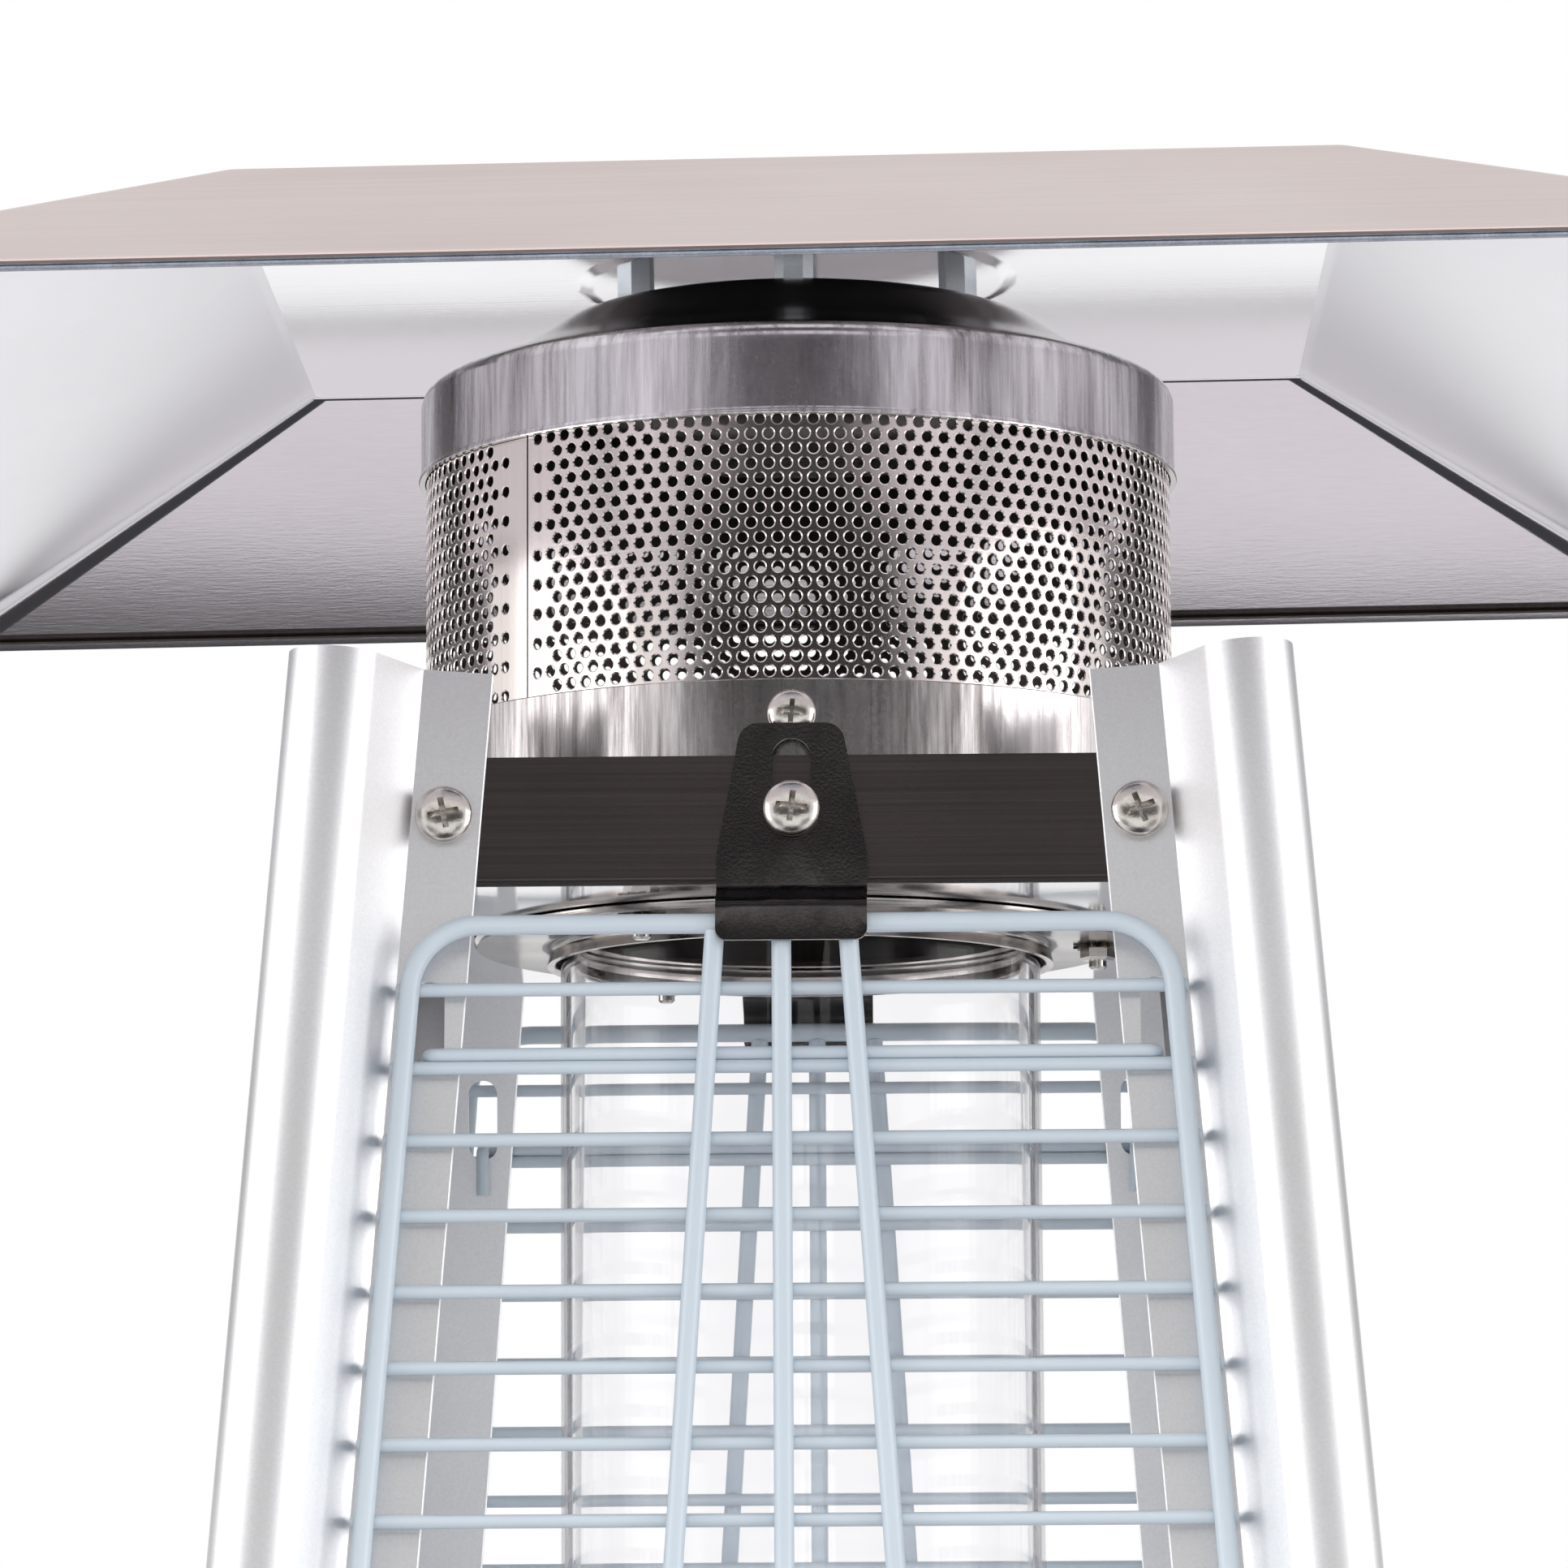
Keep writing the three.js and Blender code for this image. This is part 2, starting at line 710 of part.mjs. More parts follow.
// Round bar square to the face, between two distances outwards
function faceDisc(x, along, radius, from, to, steps = middleSteps) {
  return bar([x, -from, along], [x, -to, along], radius, steps);
}

// Bar on the spindle's axis, or hole for it
function spindleBar(clearance, from, to) {
  return faceDisc(0, knobAlong, spindleRadius + clearance, from, to, smallSteps);
}

// Bar on the igniter's axis, or hole for it
function igniterBar(radius, from, to) {
  return faceDisc(igniterOffset, knobAlong, radius, from, to);
}

function controlPanelGeometry() {
  const panel = panelGeometry(doorTop + frontGap, panelTop);
  const barrelRadius = igniterRadius - igniterBezel;
  return cut(
    panel,
    spindleBar(shankClearance, -overrun, overrun),
    igniterBar(barrelRadius + igniterClearance, -overrun, overrun),
  );
}

function knobGeometry() {
  const back = panelFront + knobStandOff;
  const skirt = faceDisc(0, knobAlong, knobSkirtRadius, back, back + knobSkirtDepth);
  const body = faceDisc(0, knobAlong, knobRadius, back, back + knobDepth - knobGripDepth);
  const grip = block(
    [-knobGripWidth / 2, -back - knobDepth, knobAlong - knobRadius + knobGripDepth / 2],
    [knobGripWidth / 2, -back - knobSkirtDepth, knobAlong + knobRadius - knobGripDepth / 2],
  );
  const bore = spindleBar(knobBoreClearance, back - overrun, back + knobBoreDepth);
  return cut(join(skirt, body, grip), bore);
}

function valveGeometry() {
  const body = block(
    [-valveWidth / 2, 0, knobAlong - valveHeight / 2],
    [valveWidth / 2, valveDepth, knobAlong + valveHeight / 2],
  );
  const inletY = valveDepth - inletRadius - sheet;
  const inletTop = knobAlong - valveHeight / 2;
  const nutLow = inletTop - inletHeight;
  const nut = plug(inletRadius, nutLow, inletTop + sheet, 0, inletY, hexSides);
  const tail = plug(inletTailRadius, nutLow - inletTailHeight, inletTop, 0, inletY);
  const bore = spindleBar(shankClearance, -spindleDepth - knobStandOff, overrun);
  return cut(join(body, nut, tail), bore);
}

place(front, 'control_panel', controlPanelGeometry(), 'steel');
place(front, 'control_knob', knobGeometry(), 'plastic');
const spindleFront = panelFront + knobStandOff + knobBoreDepth - seatGap;
place(front, 'valve_spindle', spindleBar(0, -spindleDepth, spindleFront), 'brass');
place(front, 'gas_valve', valveGeometry(), 'brass');

// Igniter: threaded housing behind its bezel, button in its bore
const bezelBack = panelFront + seatGap;
const bezelFront = bezelBack + igniterBezel;

function igniterGeometry() {
  const boreBack = -igniterButtonStem - igniterButtonRise;
  return cut(
    join(
      igniterBar(igniterRadius, bezelBack, bezelFront),
      igniterBar(igniterRadius - igniterBezel, -igniterDepth, bezelBack + igniterBezel / 2),
    ),
    igniterBar(igniterButtonRadius, boreBack, bezelFront + overrun),
  );
}

const buttonRadius = igniterButtonRadius - igniterClearance;
const buttonFront = bezelFront + igniterButtonRise;
place(front, 'igniter_housing', igniterGeometry(), 'plastic');
place(
  front,
  'igniter_button',
  igniterBar(buttonRadius, -igniterButtonStem, buttonFront),
  'plastic',
);

// Hinge axis runs beside the front left post; z of this group runs up along the post
const hinge = new THREE.Group();
const hingeTilt = Math.atan(faceRateShare);
hinge.position.set(-headFaceDistance + hingeOffset, -hingeReach, 0);
hinge.rotation.y = hingeTilt;
front.add(hinge);
const doorSpan = (alongFace(doorTop) - alongFace(panelBottom)) / Math.cos(hingeTilt);
const doorLow = alongFace(panelBottom) / Math.cos(hingeTilt);
const hingeLevels = [doorLow + doorSpan * hingeEndShare, doorLow + doorSpan * (1 - hingeEndShare)];

function hingeGeometry(level) {
  const knuckle = bar([0, 0, level - knuckleLength], [0, 0, level], hingeRadius, smallSteps);
  const pinTop = [0, 0, level + knuckleLength];
  const pin = bar([0, 0, level - seatGap], pinTop, hingePinRadius, smallSteps);
  const leaf = block(
    [-hingeLeafNib, hingeReach - seatGap - hingeLeafSheet, level - knuckleLength],
    [hingeLeafWidth, hingeReach - seatGap, level],
  );
  return join(knuckle, pin, leaf);
}

// Door, notched round the fixed leaves, with its two knuckles round the hinge pins
function doorGeometry() {
  hinge.updateMatrix();
  const notches = [];
  const knuckles = [];
  const bores = [];
  for (const level of hingeLevels) {
    const low = level + seatGap;
    const high = level + knuckleLength + seatGap;
    notches.push(
      block(
        [-hingeLeafNib * 2, hingeRadius / 2, level - knuckleLength - hingeNotchSpare],
        [hingeLeafWidth + hingeNotchSpare, hingeReach + overrun, low],
      ),
    );
    knuckles.push(bar([0, 0, low], [0, 0, high], hingeRadius, smallSteps));
    knuckles.push(block([0, 0, low], [hingeLeafWidth, hingeReach - seatGap - sheet / 2, high]));
    const boreRadius = hingePinRadius + hingePinClearance;
    bores.push(bar([0, 0, low - overrun], [0, 0, high + overrun], boreRadius, smallSteps));
  }
  const inDoor = (geometry) => geometry.applyMatrix4(hinge.matrix);
  const skin = cut(panelGeometry(panelBottom, doorTop), ...notches.map(inDoor));
  return cut(join(skin, ...knuckles.map(inDoor)), ...bores.map(inDoor));
}

place(front, 'front_door', doorGeometry(), 'steel');
place(hinge, 'door_hinge_lower', hingeGeometry(hingeLevels[0]), 'zinc');
place(hinge, 'door_hinge_upper', hingeGeometry(hingeLevels[1]), 'zinc');

function handleGeometry() {
  const along = alongFace(doorTop) - handleTopDrop;
  const x = faceHalf(along) - panelInset - handleEdge;
  const back = panelFront + seatGap;
  const post = (level) =>
    block(
      [x - handleBar / 2, -back - handleReach, level - handleBar / 2],
      [x + handleBar / 2, -back, level + handleBar / 2],
    );
  const grip = block(
    [x - handleBar / 2, -back - handleReach, along - handleLength],
    [x + handleBar / 2, -back - handleReach + handleBar, along],
  );
  return join(grip, post(along - handleBar / 2), post(along - handleLength + handleBar / 2));
}

place(front, 'door_handle', handleGeometry(), 'plastic');

// Folded square tray with leaning walls; its floor is at the low or the high end
function foldedTray(low, high, floorLow, holes) {
  const half = (height) => faceDistance(height) - postWall - seatGap;
  const shell = squareFrustum(half(low), half(high), low, high);
  const from = floorLow ? low + sheet : low - overrun;
  const to = floorLow ? high + overrun : high - sheet;
  const hollow = squareFrustum(half(from) - sheet, half(to) - sheet, from, to);
  return cut(shell, hollow, ...holes);
}

function trayGeometry() {
  const floorLow = headHeight - trayDrop;
  const flueRadius = tubeRadius - trayHoleInset;
  const holes = [plug(flueRadius, floorLow - overrun, headHeight, 0, 0, roundSteps)];
  const holeRadius = panShankRadius + shankClearance;
  for (const { face } of faces) {
    const across = faceDisc(0, clipScrewRise, holeRadius, trayFace - overrun, 0, smallSteps);
    holes.push(across.applyMatrix4(face.matrixWorld));
  }
  return foldedTray(floorLow, headHeight + trayRise, true, holes);
}

place(heater, 'top_tray', trayGeometry(), 'dark');
place(
  heater,
  'burner_shelf',
  foldedTray(shelfTop - shelfDepth, shelfTop, false, [
    plug(mixerRadius + seatGap, shelfTop - overrun, shelfTop + overrun, 0, 0, middleSteps),
  ]),
  'steel',
);

const collarTop = headHeight + collarRise;
const bandFoot = trayFloorTop + seatGap;
const screenTop = headHeight + capShoulderRise + bandSheet - seatGap * 2;

// Hole for a small radial screw through the collar and the screen
function radialHole(turn) {
  const outside = [0, -collarRadius - overrun, 0];
  return bar([0, 0, 0], outside, smallShankRadius + shankClearance, smallSteps)
    .rotateZ(turn)
    .translate(0, 0, collarTop - collarScrewDrop);
}

function bandGeometry(outer, low, high) {
  return cut(ring(outer - bandSheet, outer, low, high), radialHole(0), radialHole(2 * quarterTurn));
}

place(heater, 'collar', bandGeometry(collarRadius, bandFoot, collarTop), 'steel');
place(heater, 'flame_screen', bandGeometry(screenRadius, bandFoot, screenTop), 'steel');
['front', 'back'].forEach((name, half) => {
  const screw = faceScrew(
    0,
    0,
    collarRadius + seatGap,
    smallHeadRadius,
    smallHeadHeight,
    smallShankRadius,
    collarScrewLength,
  );
  const mesh = place(heater, `collar_screw_${name}`, screw, 'zinc');
  mesh.position.z = collarTop - collarScrewDrop;
  mesh.rotation.z = half * 2 * quarterTurn;
});

// Cap: plain band, rounded shoulder and low cone with a flat top
function capGeometry() {
  const level = (rise) => headHeight + rise;
  const inner = collarRadius - bandSheet;
  const bend = collarRadius - capShoulderRadius;
  const profile = [
    [0, level(capTopRise) - bandSheet],
    [capFlatRadius - bandSheet / 2, level(capTopRise) - bandSheet],
    [inner, level(capShoulderRise) + bandSheet],
    [inner, level(capLipRise)],
    [collarRadius, level(capLipRise)],
    [collarRadius, level(capShoulderRise)],
    [bend, level(capShoulderRise) + capShoulderRadius],
    [capFlatRadius, level(capTopRise)],
    [0, level(capTopRise)],
  ];
  return cut(turned(profile), ...studHoles(level(capTopRise)));
}

function studHoles(height) {
  return [0, 1, 2, 3].map((turn) =>
    plug(smallShankRadius + shankClearance, height - overrun, height + overrun, standoffCircle)
      .rotateZ(turn * quarterTurn),
  );
}

place(heater, 'cap', capGeometry(), 'steel');

// Rounded square ring of points
function squareRing(half, radius, height) {
  const corners = rectangle(-half, half, -half, half);
  return roundedOutline(corners, radius).map((point) => [point.x, point.y, height]);
}

// Closed skin through rings of equal point counts, closed by a flat at both ends
function loft(rings) {
  const count = rings[0].length;
  const last = rings.length - 1;
  const positions = rings.flat(2);
  const index = [];
  for (let level = 0; level < last; level += 1) {
    for (let step = 0; step < count; step += 1) {
      const next = (step + 1) % count;
      const a = level * count + step;
      const b = level * count + next;
      index.push(a, b, b + count, a, b + count, a + count);
    }
  }
  for (let step = 1; step < count - 1; step += 1) {
    index.push(0, step + 1, step);
    index.push(last * count, last * count + step, last * count + step + 1);
  }
  const geometry = new THREE.BufferGeometry();
  geometry.setAttribute('position', new THREE.Float32BufferAttribute(positions, 3));
  geometry.setIndex(index);
  return geometry;
}

function hoodGeometry() {
  const run = hoodRimHalf - hoodTopHalf;
  const top = headHeight + hoodTopRise;
  const at = (half, drop, inset = 0) => {
    const downShare = (half - hoodTopHalf) / run;
    const surface = top - downShare * hoodDrop;
    const hipRadius = hoodHipRadius + downShare * (hoodRimCornerRadius - hoodHipRadius);
    return squareRing(half - inset, hipRadius - inset, surface - drop);
  };
  const foldHalf = hoodTopHalf + hoodFoldRadius;
  const hemHalf = hoodRimHalf - hoodHemWidth;
  const skin = loft([
    squareRing(hoodTopHalf - hoodFoldRadius, hoodHipRadius - hoodFoldRadius / 2, top),
    at(foldHalf, 0),
    at(hoodRimHalf, 0),
    at(hoodRimHalf, hoodSheet * 2, hoodSheet / 2),
    at(hemHalf, hoodSheet * 2),
    at(hemHalf, hoodSheet, hoodSheet / 2),
    at(foldHalf, hoodSheet),
    squareRing(hoodTopHalf - hoodFoldRadius, hoodHipRadius - hoodFoldRadius / 2, top - hoodSheet),
  ]);
  const disc = plug(
    hoodDiscRadius + hoodSheet,
    top - hoodSheet - hoodDiscDepth,
    top - hoodSheet / 2,
    0,
    0,
    roundSteps,
  );
  const recess = plug(hoodDiscRadius, top - hoodDiscDepth, top + overrun, 0, 0, roundSteps);
  return cut(join(skin, disc), recess, ...studHoles(top));
}

place(heater, 'hood', hoodGeometry(), 'hood');

// Standoffs between cap and hood, each with a stud below and a hood screw above
const standoffLow = headHeight + standoffRise;
const standoffHigh = standoffLow + standoffLength;
const hoodScrewSeat = headHeight + hoodTopRise - hoodDiscDepth + seatGap;

function standoffGeometry() {
  const hexRadius = standoffFlats / Math.sqrt(3);
  const hex = plug(hexRadius, standoffLow, standoffHigh, standoffCircle, 0, hexSides);
  const studLow = standoffLow - standoffStud;
  const stud = plug(smallShankRadius, studLow, standoffLow + seatGap, standoffCircle);
  const bore = plug(
    smallShankRadius + shankClearance,
    hoodScrewSeat - hoodScrewLength - standoffBoreSpare,
    standoffHigh + overrun,
    standoffCircle,
  );
  return cut(join(hex, stud), bore);
}

function hoodScrewGeometry() {
  const headTop = hoodScrewSeat + smallHeadHeight;
  const shankLow = hoodScrewSeat - hoodScrewLength;
  return join(
    plug(smallHeadRadius, hoodScrewSeat, headTop, standoffCircle),
    plug(smallShankRadius, shankLow, hoodScrewSeat + seatGap, standoffCircle),
  );
}

['right', 'back', 'left', 'front'].forEach((name, turn) => {
  const standoff = place(heater, `standoff_${name}`, standoffGeometry(), 'zinc');
  standoff.rotation.z = turn * quarterTurn;
  const screw = place(heater, `hood_screw_${name}`, hoodScrewGeometry(), 'zinc');
  screw.rotation.z = turn * quarterTurn;
});

// Flame tube between its seat on the shelf and the flanged ring under the tray
place(
  heater,
  'glass_tube',
  ring(tubeRadius - tubeWall, tubeRadius, tubeBottom, tubeBottom + tubeLength),
  'glass',
);

function topRingGeometry() {
  const high = headHeight - trayDrop - seatGap;
  const inner = tubeRadius + ringClearance;
  const flangeRadius = tubeRadius + ringFlangeWidth;
  return turned([
    [inner, high],
    [inner, high - ringWall - ringCupDepth],
    [inner + ringWall, high - ringWall - ringCupDepth],
    [inner + ringWall, high - ringWall],
    [flangeRadius, high - ringWall],
    [flangeRadius, high],
    [inner, high],
  ]);
}

function tubeSeatGeometry() {
  const low = shelfTop + seatGap;
  const bore = tubeRadius + ringClearance;
  const seatInner = tubeRadius - seatLedge;
  const flangeRadius = tubeRadius + seatFlangeWidth;
  return turned([
    [seatInner, low],
    [flangeRadius, low],
    [flangeRadius, low + seatFlangeThickness],
    [bore + seatWall, low + seatFlangeThickness],
    [bore + seatWall, low + seatThickness + seatLipHeight],
    [bore, low + seatThickness + seatLipHeight],
    [bore, low + seatThickness],
    [seatInner, low + seatThickness],
    [seatInner, low],
  ]);
}

place(heater, 'tube_top_ring', topRingGeometry(), 'steel');
place(heater, 'tube_seat', tubeSeatGeometry(), 'zinc');

// Burner: head on the shelf, mixing tube with its injector below, pipe from the valve
function burnerHeadGeometry() {
  const low = shelfTop + seatGap;
  return turned([
    [0, low],
    [mixerFlange, low],
    [burnerRadius, low + burnerDomeHeight],
    [burnerRadius, low + burnerHeight - burnerDomeHeight],
    [burnerRadius - burnerDomeHeight / 2, low + burnerHeight - burnerDomeHeight / 4],
    [0, low + burnerHeight],
  ], middleSteps);
}

const pipeAlong = knobAlong - pipeDrop;
const pipeOutlet = new THREE.Vector3(0, valveDepth + seatGap, pipeAlong);
const pipeStart = pipeOutlet.applyMatrix4(front.matrixWorld);
const mixerHigh = shelfTop - seatGap;
const mixerLow = mixerHigh - mixerLength;
const injectorLow = mixerLow - injectorHeight;

function mixerGeometry() {
  const flowRadius = mixerRadius - mixerWall;
  const flowLow = mixerLow + mixerWall * 2;
  const nutRadius = injectorFlats / Math.sqrt(3);
  const tube = plug(mixerRadius, mixerLow, mixerHigh, 0, 0, middleSteps);
  const flow = plug(flowRadius, flowLow, mixerHigh + overrun, 0, 0, middleSteps);
  const nut = plug(nutRadius, injectorLow, mixerLow + mixerWall, 0, 0, hexSides);
  const jet = plug(injectorBoreRadius, injectorLow - overrun, flowLow + mixerWall);
  return cut(join(tube, nut), flow, jet);
}

// Pipe leaves the valve level, bends up under the injector and ends at it
function pipeGeometry() {
  const bendStart = new THREE.Vector3(0, -pipeBend, pipeStart.z);
  const bendCorner = new THREE.Vector3(0, 0, pipeStart.z);
  const bendEnd = new THREE.Vector3(0, 0, pipeStart.z + pipeBend);
  const pipeEnd = new THREE.Vector3(0, 0, injectorLow - seatGap);
  const route = new THREE.CurvePath();
  route.add(new THREE.LineCurve3(pipeStart, bendStart));
  route.add(new THREE.QuadraticBezierCurve3(bendStart, bendCorner, bendEnd));
  route.add(new THREE.LineCurve3(bendEnd, pipeEnd));
  const circle = new THREE.Path().absarc(0, 0, pipeRadius, 0, 4 * quarterTurn);
  const section = new THREE.Shape(circle.getPoints(cornerSteps + 1));
  return new THREE.ExtrudeGeometry(section, {
    steps: pipeSteps,
    extrudePath: route,
    bevelEnabled: false,
  });
}

function pilotBracketGeometry() {
  const low = shelfTop + seatGap;
  const inner = burnerRadius + seatGap * 2;
  const upright = inner + bracketFoot - bracketSheet;
  const half = bracketWidth / 2;
  const foot = block([inner, -half, low], [inner + bracketFoot, half, low + bracketSheet]);
  const wall = block([upright, -half, low], [inner + bracketFoot, half, low + bracketHeight]);
  const tip = low + sensorRise + sensorLength;
  const sensor = (y) => plug(sensorRadius, low + sensorRise, tip, upright, y);
  return join(foot, wall, sensor(-half / 2), sensor(half / 2));
}

place(heater, 'burner_head', burnerHeadGeometry(), 'dark');
place(heater, 'mixing_tube', mixerGeometry(), 'brass');
place(heater, 'burner_pipe', pipeGeometry(), 'brass');
place(heater, 'pilot_bracket', pilotBracketGeometry(), 'zinc');

// Base: rounded square pan turned over, with notches for the wheels and holes for the axle
const axleY = baseHalf - wheelRadius;
const wheelX = baseHalf - wheelInset;

function roundedBlock(half, radius, low, high) {
  const shape = new THREE.Shape(roundedOutline(rectangle(-half, half, -half, half), radius));
  const options = { depth: high - low, bevelEnabled: false };
  return new THREE.ExtrudeGeometry(shape, options).translate(0, 0, low);
}

function baseGeometry() {
  const shell = roundedBlock(baseHalf, baseCornerRadius, baseBottom, baseTop);
  const hollow = roundedBlock(
    baseHalf - baseSheet,
    baseCornerRadius - baseSheet,
    baseBottom - overrun,
    baseTop - baseSheet,
  );
  const notch = (x) =>
    block(
      [x - wheelWidth / 2 - wheelNotchSpare, axleY, baseBottom - overrun],
      [x + wheelWidth / 2 + wheelNotchSpare, baseHalf + overrun, wheelRadius * 2 - wheelNotchSpare],
    );
  const axleHole = bar(
    [-baseHalf - overrun, axleY, wheelRadius],
    [baseHalf + overrun, axleY, wheelRadius],
    axleRadius + axleClearance,
    smallSteps,
  );
  return cut(shell, hollow, notch(-wheelX), notch(wheelX), axleHole);
}

place(heater, 'base', baseGeometry(), 'flange');

function footGeometry() {
  return turned([
    [0, 0],
    [footRadius, 0],
    [footRadius, footPad],
    [footStemRadius, footPad],
    [footStemRadius, baseTop - baseSheet - seatGap],
    [0, baseTop - baseSheet - seatGap],
  ], middleSteps);
}

// Wheel about its own axis, its hub proud of both sides of the tyre
function wheelGeometry() {
  const bore = axleRadius + axleClearance;
  return turned([
    [bore, -wheelHubWidth / 2],
    [wheelHubRadius, -wheelHubWidth / 2],
    [wheelHubRadius, -wheelWidth / 2],
    [wheelRadius, -wheelWidth / 2],
    [wheelRadius, wheelWidth / 2],
    [wheelHubRadius, wheelWidth / 2],
    [wheelHubRadius, wheelHubWidth / 2],
    [bore, wheelHubWidth / 2],
    [bore, -wheelHubWidth / 2],
  ], middleSteps);
}

for (const [name, sign] of [['left', -1], ['right', 1]]) {
  const foot = place(heater, `foot_${name}`, footGeometry(), 'rubber');
  foot.position.set(sign * (baseHalf - footInset), -(baseHalf - footInset), 0);

  const wheel = place(heater, `wheel_${name}`, wheelGeometry(), 'rubber');
  wheel.rotation.y = quarterTurn;
  wheel.position.set(sign * wheelX, axleY, wheelRadius);
}

place(
  heater,
  'wheel_axle',
  bar(
    [-baseHalf - axleEnd, axleY, wheelRadius],
    [baseHalf + axleEnd, axleY, wheelRadius],
    axleRadius,
    smallSteps,
  ),
  'zinc',
);

export default heater;
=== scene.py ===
"""Pyramid patio heater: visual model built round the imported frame.

Metres, +Z up, floor at z = 0, front face towards -Y. Pieces in a leaning face are made in that
face's own frame: x across it, -y outwards and z up it, with zero at the tray screws.
"""

import json
import logging
import math
from dataclasses import dataclass, field
from enum import Enum, IntEnum

import bmesh
import bpy
from mathutils import Matrix, Vector

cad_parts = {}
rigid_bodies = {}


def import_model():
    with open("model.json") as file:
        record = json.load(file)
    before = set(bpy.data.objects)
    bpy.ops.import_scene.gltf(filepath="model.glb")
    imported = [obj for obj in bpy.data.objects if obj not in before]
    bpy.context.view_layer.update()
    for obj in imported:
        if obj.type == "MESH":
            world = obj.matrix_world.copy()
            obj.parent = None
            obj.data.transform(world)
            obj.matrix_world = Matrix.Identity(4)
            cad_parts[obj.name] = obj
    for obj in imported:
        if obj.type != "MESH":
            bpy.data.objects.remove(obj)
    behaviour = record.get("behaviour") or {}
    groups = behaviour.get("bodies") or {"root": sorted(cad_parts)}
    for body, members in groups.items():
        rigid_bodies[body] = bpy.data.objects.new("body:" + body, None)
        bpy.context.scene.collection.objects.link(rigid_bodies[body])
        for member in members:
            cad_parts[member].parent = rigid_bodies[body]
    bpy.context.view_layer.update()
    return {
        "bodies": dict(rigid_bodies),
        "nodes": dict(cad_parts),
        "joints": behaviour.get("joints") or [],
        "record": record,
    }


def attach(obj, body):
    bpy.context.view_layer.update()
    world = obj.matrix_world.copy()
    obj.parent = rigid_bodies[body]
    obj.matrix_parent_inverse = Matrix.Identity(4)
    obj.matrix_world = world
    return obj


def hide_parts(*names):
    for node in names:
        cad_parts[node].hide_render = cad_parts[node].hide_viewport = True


log = logging.getLogger("heater")

Pair = tuple[float, float]
Triple = tuple[float, float, float]


class Side(Enum):
    """The four faces of the heater, in quarter turns from the front."""

    FRONT = 0
    RIGHT = 1
    BACK = 2
    LEFT = 3

    @property
    def label(self) -> str:
        """Name of the face as the frame's nodes use it."""
        return self.name.lower()


class Grain(Enum):
    """Direction that the drawn lines of a finish follow."""

    ACROSS = (6.0, 6.0, 900.0)
    UPRIGHT = (700.0, 700.0, 7.0)
    ALONG_X = (5.0, 800.0, 260.0)
    SHORT = (170.0, 1000.0, 1000.0)
    BRUSHED = (3.0, 3.0, 420.0)
    NONE = (1700.0, 1700.0, 1700.0)


# Shader nodes


class Signal:
    """Output socket of a node, so that shader maths is written as an expression."""

    def __init__(self, graph: "Graph", socket: bpy.types.NodeSocket) -> None:
        """Keep the graph that the socket belongs to.

        Args:
            graph: Graph that adds the nodes of an expression.
            socket: Output socket that carries the value.
        """
        self.graph = graph
        self.socket = socket

    def _math(self, operation: str, first: "Signal | float", second: "Signal | float") -> "Signal":
        """Add one Math node.

        Args:
            operation: Name of the Math operation.
            first: Left operand.
            second: Right operand.

        Returns:
            The node's result.
        """
        return self.graph.add("ShaderNodeMath", {"operation": operation}, {0: first, 1: second})

    def __add__(self, other: "Signal | float") -> "Signal":
        """Sum of two values."""
        return self._math("ADD", self, other)

    def __radd__(self, other: "Signal | float") -> "Signal":
        """Sum with a plain number first."""
        return self._math("ADD", other, self)

    def __sub__(self, other: "Signal | float") -> "Signal":
        """Difference of two values."""
        return self._math("SUBTRACT", self, other)

    def __rsub__(self, other: "Signal | float") -> "Signal":
        """Difference with a plain number first."""
        return self._math("SUBTRACT", other, self)

    def __mul__(self, other: "Signal | float") -> "Signal":
        """Product of two values."""
        return self._math("MULTIPLY", self, other)

    def __rmul__(self, other: "Signal | float") -> "Signal":
        """Product with a plain number first."""
        return self._math("MULTIPLY", other, self)


